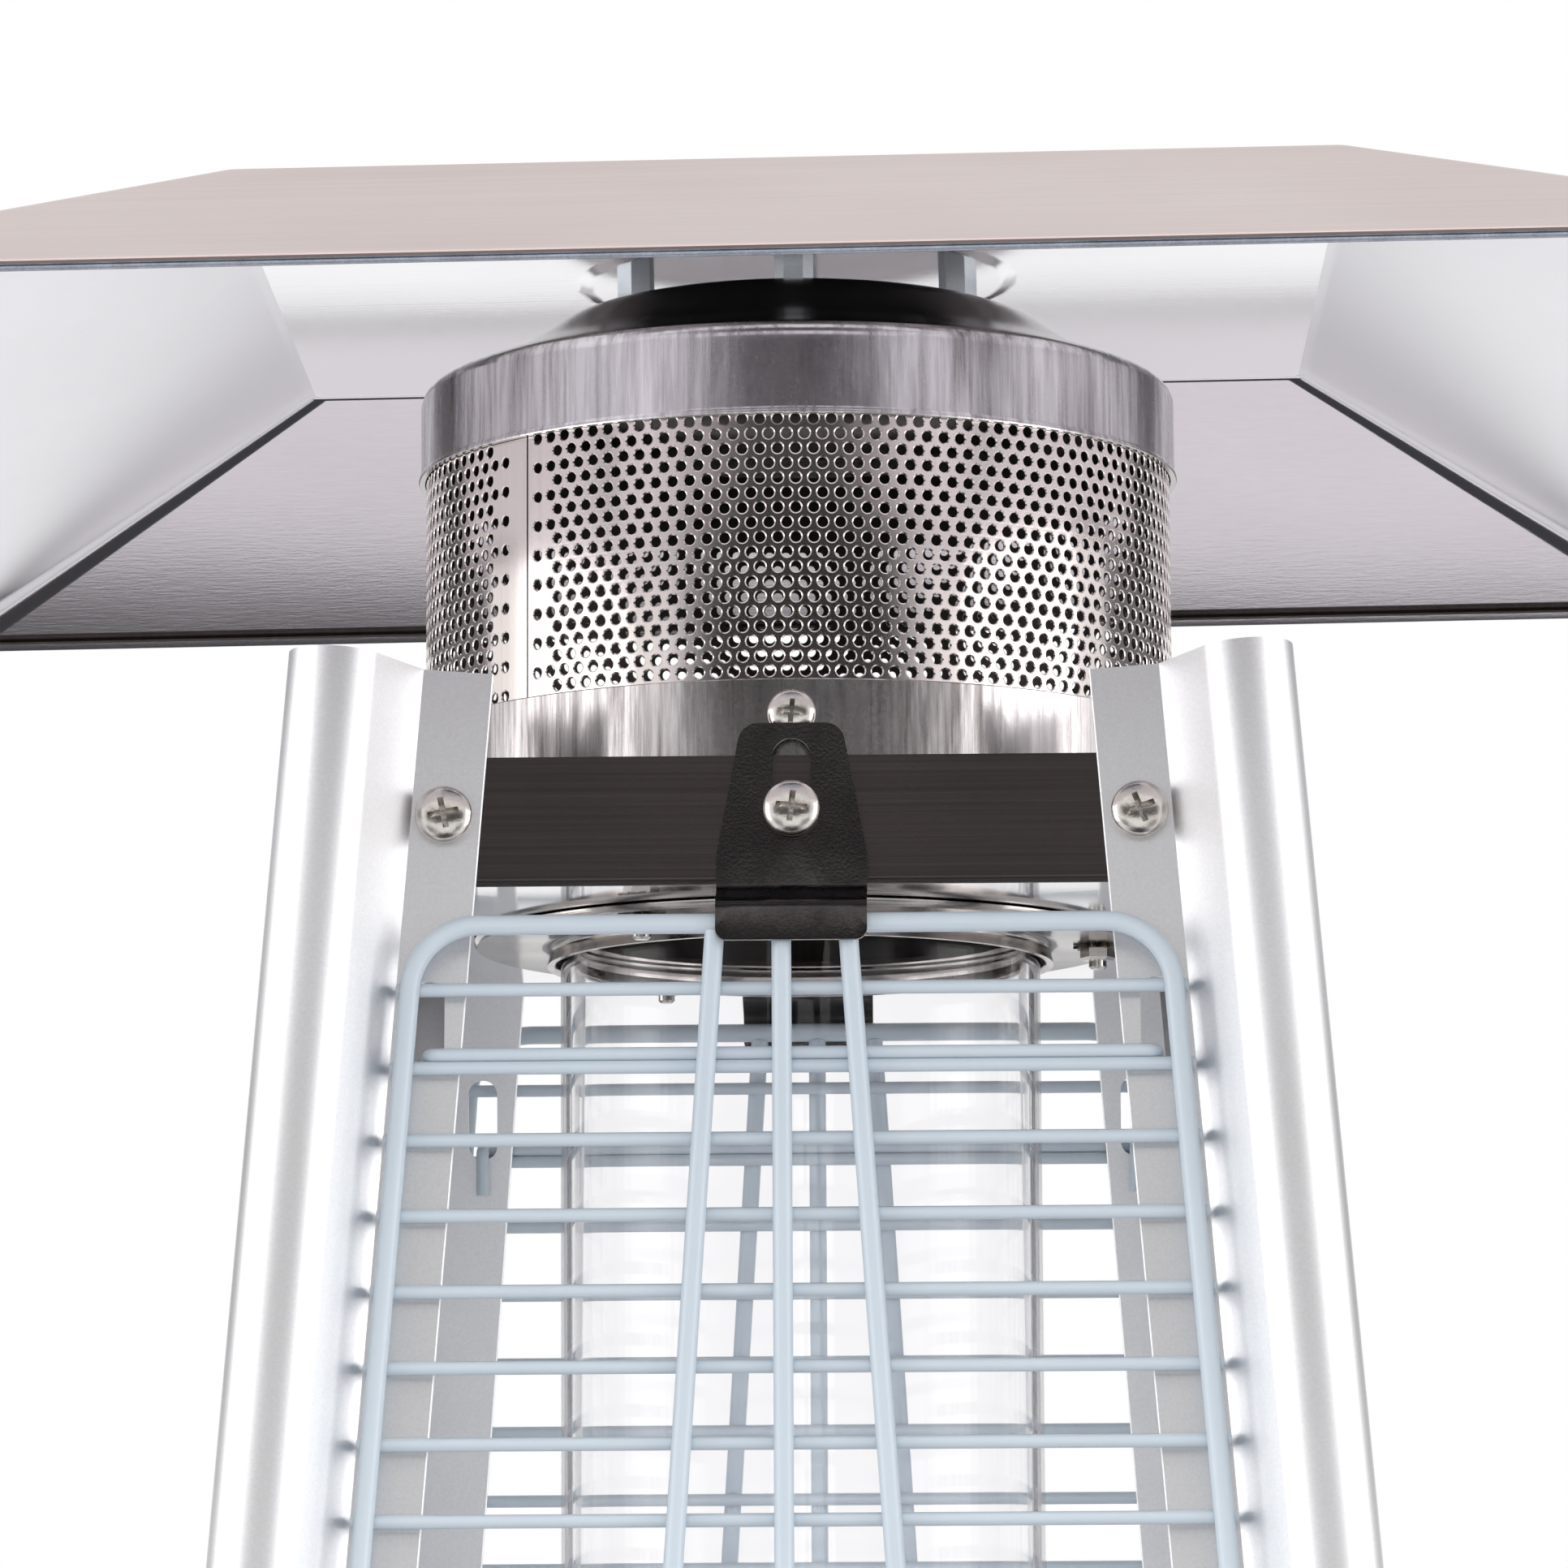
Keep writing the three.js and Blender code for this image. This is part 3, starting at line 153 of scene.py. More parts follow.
class Graph:
    """Node tree of one material or world, with the one method that adds a node."""

    def __init__(self, tree: bpy.types.NodeTree) -> None:
        """Keep the tree.

        Args:
            tree: Node tree to build in.
        """
        self.tree = tree

    def add(
        self,
        kind: str,
        settings: dict | None = None,
        inputs: dict | None = None,
        output: int | str = 0,
    ) -> Signal:
        """Add a node.

        Args:
            kind: Node type.
            settings: Settings of the node, set first; "stops" holds a colour ramp's stops.
            inputs: Values or links of the node's sockets, by index or name.
            output: Socket to hand back.

        Returns:
            The chosen output.
        """
        node = self.tree.nodes.new(kind)
        for key, value in (settings or {}).items():
            if key == "stops":
                self._stops(node.color_ramp, value)
            else:
                setattr(node, key, value)
        for key, value in (inputs or {}).items():
            self.plug(node.inputs[key], value)
        return Signal(self, node.outputs[output])

    @staticmethod
    def _stops(ramp: bpy.types.ColorRamp, stops: list) -> None:
        """Set the stops of a colour ramp.

        Args:
            ramp: Ramp with its two first stops.
            stops: Position and grey level of each stop, in order.
        """
        while len(ramp.elements) < len(stops):
            ramp.elements.new(1.0)
        for element, (place, level) in zip(ramp.elements, stops):
            element.position = place
            element.color = (level, level, level, 1.0)

    def plug(self, socket: bpy.types.NodeSocket, value: "Signal | float | Triple") -> None:
        """Link a signal to a socket, or set the socket's own value.

        Args:
            socket: Input socket.
            value: Signal, number or colour.
        """
        if isinstance(value, Signal):
            self.tree.links.new(value.socket, socket)
        elif socket.type == "RGBA" and not isinstance(value, (int, float)):
            socket.default_value = (*value, 1.0)
        else:
            socket.default_value = value

    def stretched(self, scale: Triple = (1.0, 1.0, 1.0)) -> Signal:
        """Object coordinates, scaled along each axis.

        Args:
            scale: Repeats per metre along x, y and z.

        Returns:
            The scaled position.
        """
        place = self.add("ShaderNodeTexCoord", output="Object")
        return self.add("ShaderNodeVectorMath", {"operation": "MULTIPLY"}, {0: place, 1: scale})

    def noise(self, place: Signal, scale: float, detail: float = 2.0, rough: float = 0.5) -> Signal:
        """Noise from zero to one.

        Args:
            place: Position to read it at.
            scale: Its scale.
            detail: Octaves.
            rough: Share that each octave adds.

        Returns:
            The noise.
        """
        sockets = {"Vector": place, "Scale": scale, "Detail": detail, "Roughness": rough}
        return self.add("ShaderNodeTexNoise", None, sockets)

    def ramp(self, value: Signal, stops: list) -> Signal:
        """Value through a grey ramp.

        Args:
            value: Value from zero to one.
            stops: Position and level of each stop.

        Returns:
            The mapped value.
        """
        return self.add("ShaderNodeValToRGB", {"stops": stops}, {0: value})

    def mix(self, share: Signal, first: "Signal | Triple", second: "Signal | Triple") -> Signal:
        """Colour between two colours.

        Args:
            share: Zero for the first, one for the second.
            first: Colour at zero.
            second: Colour at one.

        Returns:
            The mixed colour.
        """
        sockets = {0: share, 6: first, 7: second}
        return self.add("ShaderNodeMix", {"data_type": "RGBA"}, sockets, 2)

    def bump(self, height: Signal, distance: float, strength: float = 1.0) -> Signal:
        """Normal of a surface with a relief.

        Args:
            height: Relief from zero to one.
            distance: Depth of the relief in metres.
            strength: How much of it shows.

        Returns:
            The normal.
        """
        sockets = {"Height": height, "Distance": distance, "Strength": strength}
        return self.add("ShaderNodeBump", None, sockets)

    def seen(self) -> Signal:
        """One for rays from the camera, off a mirror or through glass, else zero.

        Returns:
            The sum of the three.
        """
        path = self.add("ShaderNodeLightPath", output="Is Camera Ray")
        node = path.socket.node
        seen = path + Signal(self, node.outputs["Is Glossy Ray"])
        return seen + Signal(self, node.outputs["Is Transmission Ray"])


# Scale of the finest texture, and stops that sharpen lines, clouds and streaks
SPECKLE = 1500.0
LINE_STOPS = [(0.3, 0.0), (0.7, 1.0)]
CLOUD_STOPS = [(0.32, 0.0), (0.68, 1.0)]
STREAK_STOPS = [(0.40, 0.0), (0.68, 1.0)]


class Finish:
    """Base of every finish: makes its material once and hands it out."""

    name: str

    def dress(self, graph: Graph, shader: bpy.types.Node) -> None:
        """Fill in the shader; each finish has its own.

        Args:
            graph: Graph of the material.
            shader: Its Principled shader.
        """
        raise NotImplementedError

    def material(self) -> bpy.types.Material:
        """Material of this finish, made at first use.

        Returns:
            The material.
        """
        title = f"{self.name}_finish"
        made = bpy.data.materials.get(title)
        if made is None:
            made = bpy.data.materials.new(title)
            made.use_nodes = True
            self.dress(Graph(made.node_tree), made.node_tree.nodes["Principled BSDF"])
        return made


@dataclass(frozen=True)
class Metal(Finish):
    """Bare or plated metal with drawn lines along its grain, clouding and a fine texture."""

    name: str
    colour: Triple
    shade: Triple
    roughness: float = 0.3
    spread: float = 0.1
    grain: Grain = Grain.NONE
    streaks: float = 0.3
    clouds: float = 9.0
    cloud_share: float = 0.4
    depth: float = 0.00003
    octaves: float = 3.0

    def dress(self, graph: Graph, shader: bpy.types.Node) -> None:
        """Fill in the shader.

        Args:
            graph: Graph of the material.
            shader: Its Principled shader.
        """
        weight = 0.5 + self.octaves / 30
        lines = graph.noise(graph.stretched(self.grain.value), 1.0, self.octaves, weight)
        even = graph.stretched()
        clouds = graph.noise(even, self.clouds, 3.0, 0.55)
        speckle = graph.noise(even, SPECKLE, 2.0)
        sharp = graph.ramp(lines, LINE_STOPS)
        soft = graph.ramp(clouds, CLOUD_STOPS)
        share = sharp * self.streaks + soft * self.cloud_share
        graph.plug(shader.inputs["Base Color"], graph.mix(share, self.colour, self.shade))
        rough = self.roughness - self.spread / 2 + (soft * 0.6 + lines * 0.4) * self.spread
        graph.plug(shader.inputs["Roughness"], rough)
        graph.plug(shader.inputs["Metallic"], 1.0)
        relief = graph.bump(lines * 0.7 + speckle * 0.3, self.depth)
        graph.plug(shader.inputs["Normal"], relief)


@dataclass(frozen=True)
class StreakedMetal(Finish):
    """Rolled steel band with drawn streaks running up and down and broad patches of painted dark
    reflection.
    """

    name: str
    light: Triple
    # Colour of the dark streaks and of the painted dark reflection.
    dark: Triple
    roughness: float = 0.24
    seed: float = 0.0
    bias: float = 0.5
    spread: float = 0.16
    depth: float = 0.00018

    def dress(self, graph: Graph, shader: bpy.types.Node) -> None:
        """Fill in the shader.

        Args:
            graph: Graph of the material.
            shader: Its Principled shader.
        """
        wide = graph.noise(graph.stretched((38.0, 38.0, 9.0)), 1.0 + self.seed, 2.0, 0.5)
        fine = graph.noise(graph.stretched((520.0, 520.0, 26.0)), 1.0, 4.0, 0.65)
        grain = graph.noise(graph.stretched(), 1100.0, 2.0)
        dents = graph.noise(graph.stretched((90.0, 90.0, 30.0)), 1.0, 3.0, 0.6)
        # Broad dark patches are painted dark reflection.
        painted_reflection = graph.ramp(wide, [(self.bias - self.spread, 0.0), (self.bias + self.spread, 1.0)])
        thin = graph.ramp(fine, STREAK_STOPS)
        share = painted_reflection * 0.5 + thin * 0.5
        graph.plug(shader.inputs["Base Color"], graph.mix(share, self.light, self.dark))
        graph.plug(shader.inputs["Roughness"], self.roughness + thin * 0.1 + grain * 0.06)
        graph.plug(shader.inputs["Metallic"], 1.0)
        relief = graph.bump(fine * 0.18 + grain * 0.04 + dents * 1.2, self.depth)
        graph.plug(shader.inputs["Normal"], relief)


@dataclass(frozen=True)
class Coating(Finish):
    """Powder coat, moulded plastic or rubber: even colour with a fine pebbled surface."""

    name: str
    colour: Triple
    shade: Triple
    roughness: float = 0.45
    pebble: float = 900.0
    depth: float = 0.00004
    coat: float = 0.0
    sheen: float = 0.5

    def dress(self, graph: Graph, shader: bpy.types.Node) -> None:
        """Fill in the shader.

        Args:
            graph: Graph of the material.
            shader: Its Principled shader.
        """
        graph.plug(shader.inputs["Specular IOR Level"], self.sheen)
        even = graph.stretched()
        pebbles = graph.noise(even, self.pebble, 2.0)
        clouds = graph.noise(even, 30.0, 3.0)
        colour = graph.mix(clouds * 0.8 + pebbles * 0.2, self.colour, self.shade)
        graph.plug(shader.inputs["Base Color"], colour)
        graph.plug(shader.inputs["Roughness"], self.roughness + (clouds - 0.5) * 0.12)
        graph.plug(shader.inputs["Metallic"], 0.0)
        graph.plug(shader.inputs["Coat Weight"], self.coat)
        graph.plug(shader.inputs["Normal"], graph.bump(pebbles, self.depth))


@dataclass(frozen=True)
class Quartz(Finish):
    """Clear quartz glass with faint draw lines."""

    name: str
    colour: Triple = (0.985, 0.98, 0.985)
    shade: Triple = (0.955, 0.95, 0.96)
    index: float = 1.22
    depth: float = 0.0001

    def dress(self, graph: Graph, shader: bpy.types.Node) -> None:
        """Fill in the shader.

        Args:
            graph: Graph of the material.
            shader: Its Principled shader.
        """
        waves = graph.noise(graph.stretched((30.0, 30.0, 1.5)), 1.0, 2.0)
        graph.plug(shader.inputs["Base Color"], graph.mix(waves, self.colour, self.shade))
        graph.plug(shader.inputs["Roughness"], 0.01 + waves * 0.02)
        graph.plug(shader.inputs["Transmission Weight"], 1.0)
        graph.plug(shader.inputs["IOR"], self.index)
        graph.plug(shader.inputs["Normal"], graph.bump(waves, self.depth, 0.3))


# Hood finishes: one steel in lit and shaded tones, so their differing colours are painted light and
# painted shade.
HOOD_OUTSIDE_PAINTED_SHADE = Metal(
    "hood_outside", (0.56, 0.455, 0.435), (0.44, 0.36, 0.345), grain=Grain.ALONG_X, streaks=0.4,
    clouds=7.0, depth=0.00002,
)
HOOD_INSIDE_PAINTED_SHADE = Metal(
    "hood_inside", (0.84, 0.81, 0.85), (0.73, 0.70, 0.74), roughness=0.08, spread=0.03,
    grain=Grain.SHORT, cloud_share=0.35, depth=0.000005,
)
HOOD_SIDES_PAINTED_SHADE = Metal(
    "hood_sides", (0.82, 0.81, 0.845), (0.76, 0.75, 0.785), roughness=0.22, spread=0.04,
    grain=Grain.ALONG_X, cloud_share=0.35, depth=0.000006,
)
HOOD_CEILING_PAINTED_LIGHT = Metal(
    "hood_ceiling", (0.96, 0.955, 0.975), (0.90, 0.895, 0.92), roughness=0.12, spread=0.04,
    grain=Grain.ALONG_X, streaks=0.25, cloud_share=0.35, depth=0.000012,
)
HEM_STEEL = Metal(
    "hem_steel", (0.62, 0.66, 0.74), (0.36, 0.38, 0.44), roughness=0.42, spread=0.15, streaks=0.5,
    clouds=160.0, cloud_share=0.6,
)
POST_METAL = Metal(
    "post_metal", (0.96, 0.955, 0.965), (0.84, 0.835, 0.85), roughness=0.42, spread=0.08,
    streaks=0.6, cloud_share=0.2, depth=0.00002,
)
PANEL_STEEL = Metal(
    "panel_steel", (0.62, 0.61, 0.605), (0.48, 0.47, 0.465), roughness=0.25, grain=Grain.BRUSHED,
    streaks=0.8, clouds=4.0, cloud_share=0.3, depth=0.00001, octaves=4.0,
)
# Charcoal colour of the tray's bend and walls: painted dark reflection.
TRAY_PAINTED_REFLECTION = Metal(
    "tray_steel", (0.115, 0.098, 0.094), (0.06, 0.052, 0.05), roughness=0.34, grain=Grain.ACROSS,
    streaks=0.6, clouds=22.0,
)
MIRROR_STEEL = Metal(
    "mirror_steel", (0.84, 0.83, 0.84), (0.76, 0.745, 0.75), roughness=0.07, spread=0.04,
    grain=Grain.ACROSS, streaks=0.2, clouds=30.0, cloud_share=0.3, depth=0.000004,
)
CLIP_STEEL = Metal(
    "clip_steel", (0.10, 0.092, 0.09), (0.045, 0.04, 0.04), roughness=0.2, streaks=0.35,
    clouds=130.0, cloud_share=0.6,
)
CUT_STEEL = Metal(
    "cut_steel", (0.78, 0.75, 0.73), (0.52, 0.50, 0.48), roughness=0.22, streaks=0.4, clouds=160.0,
    cloud_share=0.5,
)
RING_STEEL = Metal(
    "ring_steel", (0.56, 0.52, 0.50), (0.34, 0.31, 0.295), roughness=0.17, spread=0.08,
    clouds=60.0, cloud_share=0.6, depth=0.00001,
)
# Collar and cap band: the dark colour is partly drawn streaks and partly painted dark reflection.
COLLAR_STEEL = StreakedMetal(
    "collar_steel", (0.82, 0.77, 0.78), (0.10, 0.085, 0.08), roughness=0.17,
)
CAP_BAND_STEEL = StreakedMetal(
    "cap_band_steel", (0.80, 0.77, 0.80), (0.17, 0.15, 0.15), roughness=0.17, seed=0.6, bias=0.54,
)
# Cap cone: a darker copy of the band's steel, painted dark reflection.
CAP_TOP_PAINTED_REFLECTION = Metal(
    "cap_top_steel", (0.40, 0.37, 0.37), (0.24, 0.22, 0.22), roughness=0.2, spread=0.06,
    streaks=0.2, clouds=18.0,
)
SCREEN_STEEL = Metal(
    "screen_steel", (0.87, 0.79, 0.76), (0.64, 0.585, 0.57), roughness=0.15, spread=0.06,
    grain=Grain.UPRIGHT, streaks=0.25, clouds=16.0, cloud_share=0.5, depth=0.00001,
)
# Near-black painted shade, for the screen's inside and hole walls and the hood's hem gap.
PAINTED_SHADE_STEEL = Metal(
    "screen_inside", (0.10, 0.085, 0.08), (0.05, 0.045, 0.04), roughness=0.35, grain=Grain.UPRIGHT,
    clouds=16.0,
)
SCREW_STEEL = Metal(
    "screw_steel", (0.76, 0.72, 0.68), (0.58, 0.54, 0.50), roughness=0.2, clouds=300.0,
)
WASHER_STEEL = Metal("washer_steel", (0.16, 0.14, 0.12), (0.09, 0.08, 0.07), clouds=300.0)
STANDOFF_STEEL = Metal(
    "standoff_steel", (0.66, 0.70, 0.72), (0.50, 0.56, 0.60), spread=0.06, clouds=120.0,
)
ZINC_PLATE = Metal(
    "zinc_plate", (0.62, 0.70, 0.76), (0.42, 0.50, 0.58), roughness=0.26, clouds=120.0,
)
BRASS = Metal("brass", (0.78, 0.60, 0.30), (0.62, 0.45, 0.20), clouds=90.0)
BURNER_IRON = Metal(
    "burner_iron", (0.20, 0.19, 0.18), (0.12, 0.11, 0.11), roughness=0.5, streaks=0.5, clouds=22.0,
)
WIRE_COAT = Coating(
    "wire_coat", (0.60, 0.68, 0.74), (0.54, 0.62, 0.69), roughness=0.36, pebble=700.0,
    depth=0.00002, coat=0.15,
)
BASE_METAL = Metal(
    "base_metal", (0.62, 0.61, 0.62), (0.50, 0.49, 0.50), roughness=0.36, spread=0.12,
    grain=Grain.ACROSS, streaks=0.5, clouds=22.0,
)
BLACK_PLASTIC = Coating(
    "black_plastic", (0.012, 0.012, 0.013), (0.018, 0.018, 0.02), roughness=0.42, sheen=0.4,
)
RUBBER = Coating(
    "rubber", (0.014, 0.014, 0.0145), (0.022, 0.022, 0.0225), roughness=0.7, pebble=500.0,
    depth=0.0001, sheen=0.15,
)
MARKING = Coating("marking", (0.80, 0.80, 0.78), (0.72, 0.72, 0.70), roughness=0.5)
GLASS = Quartz("quartz_glass")


# Mesh making


def rounded(corners: list[Pair], radii: "float | list[float]", steps: int = 5) -> list[Pair]:
    """Outline with its corners turned into arcs.

    Args:
        corners: Corner points of a closed outline.
        radii: One radius above zero, or one for each corner.
        steps: Segments of an arc.

    Returns:
        The outline's points.
    """
    points: list[Pair] = []
    for index, corner in enumerate(corners):
        radius = radii[index] if isinstance(radii, list) else radii
        here = Vector(corner)
        back = (Vector(corners[index - 1]) - here).normalized()
        ahead = (Vector(corners[(index + 1) % len(corners)]) - here).normalized()
        half = math.acos(max(-1.0, min(1.0, back.dot(ahead)))) / 2
        centre = here + (back + ahead).normalized() * (radius / math.sin(half))
        start = here + back * (radius / math.tan(half)) - centre
        end = here + ahead * (radius / math.tan(half)) - centre
        sweep = math.atan2(start.x * end.y - start.y * end.x, start.dot(end))
        for step in range(steps + 1):
            turn = sweep * step / steps
            spoke = Matrix.Rotation(turn, 2) @ start
            points.append(tuple(centre + spoke))
    return points


def square(half: float, radius: float, steps: int = 6) -> list[Pair]:
    """Rounded square about the axis.

    Args:
        half: Half its width.
        radius: Corner radius.
        steps: Segments of a corner.

    Returns:
        Its points, always as many for the same steps.
    """
    corners = [(-half, -half), (half, -half), (half, half), (-half, half)]
    return rounded(corners, max(radius, 1e-5), steps)


def circle(radius: float, steps: int = 6) -> list[Pair]:
    """Circle about the axis, with as many points as a rounded square and in the same order.

    Args:
        radius: Its radius.
        steps: Segments of a corner of that square.

    Returns:
        Its points, evenly spaced.
    """
    count = 4 * (steps + 1)
    turns = [2 * math.pi * (step - steps / 2) / count - 3 * math.pi / 4 for step in range(count)]
    return [(radius * math.cos(t), radius * math.sin(t)) for t in turns]


def lifted(outline: list[Pair], height: float) -> list[Vector]:
    """Outline in x and y as a ring at a height."""
    return [Vector((x, y, height)) for x, y in outline]


def spun(radius: float, turns: list[float], height: float = 0.0) -> list[Vector]:
    """Ring of points at given turns, in radians, on a circle about the axis."""
    return [Vector((radius * math.cos(t), radius * math.sin(t), height)) for t in turns]


def around(steps: int) -> list[float]:
    """Even turns round a circle, in radians."""
    return [2 * math.pi * step / steps for step in range(steps)]


@dataclass
class Skin:
    """Vertices and faces of a piece while it is made; marks choose a face's material."""

    vertices: list[Vector] = field(default_factory=list)
    faces: list[tuple[int, ...]] = field(default_factory=list)
    marks: list[int] = field(default_factory=list)

    def face(self, corners: tuple[int, ...], mark: int = 0) -> None:
        """Add one face by its vertex numbers."""
        self.faces.append(corners)
        self.marks.append(mark)

    def rings(
        self,
        rings: list[list[Vector]],
        along: bool = False,
        caps: bool = False,
        marks: "list[int] | None" = None,
    ) -> "Skin":
        """Skin through closed rings with as many points each.

        Args:
            rings: Rings in order.
            along: Join the last ring to the first.
            caps: Close both ends with a flat.
            marks: Material mark of each band between two rings.

        Returns:
            This skin.
        """
        start = len(self.vertices)
        count = len(rings[0])
        for ring in rings:
            self.vertices.extend(Vector(point) for point in ring)
        bands = len(rings) if along else len(rings) - 1
        for band in range(bands):
            low = start + band * count
            high = start + (band + 1) % len(rings) * count
            mark = marks[band] if marks else 0
            for step in range(count):
                after = (step + 1) % count
                self.face((low + step, low + after, high + after, high + step), mark)
        if caps:
            self.face(tuple(range(start, start + count)), marks[0] if marks else 0)
            last = start + (len(rings) - 1) * count
            self.face(tuple(range(last, last + count)), marks[-1] if marks else 0)
        return self

    def turned(
        self,
        profile: list[Pair],
        steps: int = 96,
        closed: bool = True,
        marks: "list[int] | None" = None,
    ) -> "Skin":
        """Turned piece about z.

        Args:
            profile: Radius and height of each point.
            steps: Segments round the axis.
            closed: Join the last point to the first, as for a wall with thickness.
            marks: Material mark of each band of the profile.

        Returns:
            This skin.
        """
        rings = [spun(radius, around(steps), height) for radius, height in profile]
        return self.rings(rings, along=closed, marks=marks)

    def sweep(
        self,
        path: list[Vector],
        radius: float,
        sides: int = 12,
        closed: bool = False,
        across: Triple = (0.0, 1.0, 0.0),
    ) -> "Skin":
        """Round wire along a path.

        Args:
            path: Points of the path.
            radius: Radius of the wire.
            sides: Segments round the wire.
            closed: Join the path's end to its start.
            across: Direction square to the path at its start.

        Returns:
            This skin.
        """
        rings = []
        side = Vector(across)
        count = len(path)
        for index, point in enumerate(path):
            before = path[index - 1] if index or closed else point
            after = path[(index + 1) % count] if index < count - 1 or closed else point
            heading = (after - before).normalized()
            side = (side - heading * side.dot(heading)).normalized()
            other = heading.cross(side)
            reach = radius
            if 0 < index < count - 1 or closed:
                first = (point - before).normalized()
                second = (after - point).normalized()
                reach = radius / max(0.5, math.cos(first.angle(second, 0.0) / 2))
            spokes = [side * math.cos(t) + other * math.sin(t) for t in around(sides)]
            rings.append([point + spoke * reach for spoke in spokes])
        return self.rings(rings, along=closed, caps=not closed)

    def rod(self, start: Triple, end: Triple, radius: float, sides: int = 12) -> "Skin":
        """Straight round bar with a small chamfer at both ends.

        Args:
            start: Middle of one end.
            end: Middle of the other end.
            radius: Radius of the bar.
            sides: Segments round the bar.

        Returns:
            This skin.
        """
        low, high = Vector(start), Vector(end)
        heading = (high - low).normalized()
        side = heading.orthogonal().normalized()
        other = heading.cross(side)
        bevel = radius * 0.25
        turns = [2 * math.pi * (step + 0.5) / sides for step in range(sides)]
        spokes = [side * math.cos(t) + other * math.sin(t) for t in turns]
        places = [
            (low, radius - bevel),
            (low + heading * bevel, radius),
            (high - heading * bevel, radius),
            (high, radius - bevel),
        ]
        rings = [[middle + spoke * reach for spoke in spokes] for middle, reach in places]
        return self.rings(rings, caps=True)

    def add(self, other: "Skin", place: "Matrix | None" = None) -> "Skin":
        """Add a copy of another skin.

        Args:
            other: Skin to copy.
            place: Where the copy goes.

        Returns:
            This skin.
        """
        start = len(self.vertices)
        move = place or Matrix.Identity(4)
        self.vertices.extend(move @ vertex for vertex in other.vertices)
        for corners, mark in zip(other.faces, other.marks):
            self.face(tuple(start + corner for corner in corners), mark)
        return self

    def mesh(self, name: str, sharp: float = 32.0, weld: float = 1e-7) -> bpy.types.Mesh:
        """Mesh of this skin, welded, faced outwards and shaded smooth between sharp edges.

        Args:
            name: Name of the mesh.
            sharp: Angle in degrees from which an edge stays sharp.
            weld: Distance within which vertices are one.

        Returns:
            The mesh.
        """
        mesh = bpy.data.meshes.new(name)
        mesh.from_pydata([tuple(vertex) for vertex in self.vertices], [], self.faces)
        mesh.polygons.foreach_set("material_index", self.marks)
        work = bmesh.new()
        work.from_mesh(mesh)
        bmesh.ops.remove_doubles(work, verts=work.verts, dist=weld)
        bmesh.ops.dissolve_degenerate(work, edges=work.edges, dist=weld)
        bmesh.ops.recalc_face_normals(work, faces=work.faces)
        work.to_mesh(mesh)
        work.free()
        return smooth(mesh, sharp)


def smooth(mesh: bpy.types.Mesh, sharp: float = 32.0) -> bpy.types.Mesh:
    """Shade a mesh smooth, apart from its sharp edges.

    Args:
        mesh: Mesh to shade.
        sharp: Angle in degrees from which an edge stays sharp.

    Returns:
        The same mesh.
    """
    mesh.polygons.foreach_set("use_smooth", [True] * len(mesh.polygons))
    mesh.set_sharp_from_angle(angle=math.radians(sharp))
    return mesh


def worked(mesh: bpy.types.Mesh, kind: str, settings: dict, sharp: float) -> bpy.types.Mesh:
    """Mesh after one of Blender's modifiers.

    Args:
        mesh: Mesh to work on; it is dropped afterwards.
        kind: Type of the modifier.
        settings: Its settings.
        sharp: Angle in degrees from which an edge stays sharp.

    Returns:
        The new mesh.
    """
    holder = bpy.data.objects.new("work", mesh)
    bpy.context.scene.collection.objects.link(holder)
    modifier = holder.modifiers.new("work", kind)
    for key, value in settings.items():
        setattr(modifier, key, value)
    graph = bpy.context.evaluated_depsgraph_get()
    made = bpy.data.meshes.new_from_object(holder.evaluated_get(graph))
    made.name = mesh.name + "_worked"
    bpy.data.objects.remove(holder)
    bpy.data.meshes.remove(mesh)
    return smooth(made, sharp)


def carved(mesh: bpy.types.Mesh, cutter: Skin, sharp: float) -> bpy.types.Mesh:
    """Mesh with a cutter's space taken out of it.

    Args:
        mesh: Mesh to cut; it is dropped afterwards.
        cutter: Skin of the space, which may be in several parts.
        sharp: Angle in degrees from which an edge stays sharp.

    Returns:
        The cut mesh.
    """
    tool = bpy.data.objects.new("cutter", cutter.mesh("cutter"))
    bpy.context.scene.collection.objects.link(tool)
    settings = {"operation": "DIFFERENCE", "solver": "EXACT", "object": tool}
    made = worked(mesh, "BOOLEAN", settings, sharp)
    shape = tool.data
    bpy.data.objects.remove(tool)
    bpy.data.meshes.remove(shape)
    return made


def eased(mesh: bpy.types.Mesh, width: float, mark: int) -> bpy.types.Mesh:
    """Mesh with its sharp edges rounded off.

    Args:
        mesh: Mesh to ease; it is dropped afterwards.
        width: Width of the rounding.
        mark: Material mark of the rounding.

    Returns:
        The eased mesh.
    """
    for _ in range(mark + 1):
        mesh.materials.append(None)
    settings = {"limit_method": "ANGLE", "angle_limit": math.radians(35), "width": width}
    settings |= {"use_clamp_overlap": True, "segments": 2, "material": mark}
    return worked(mesh, "BEVEL", settings, 40.0)


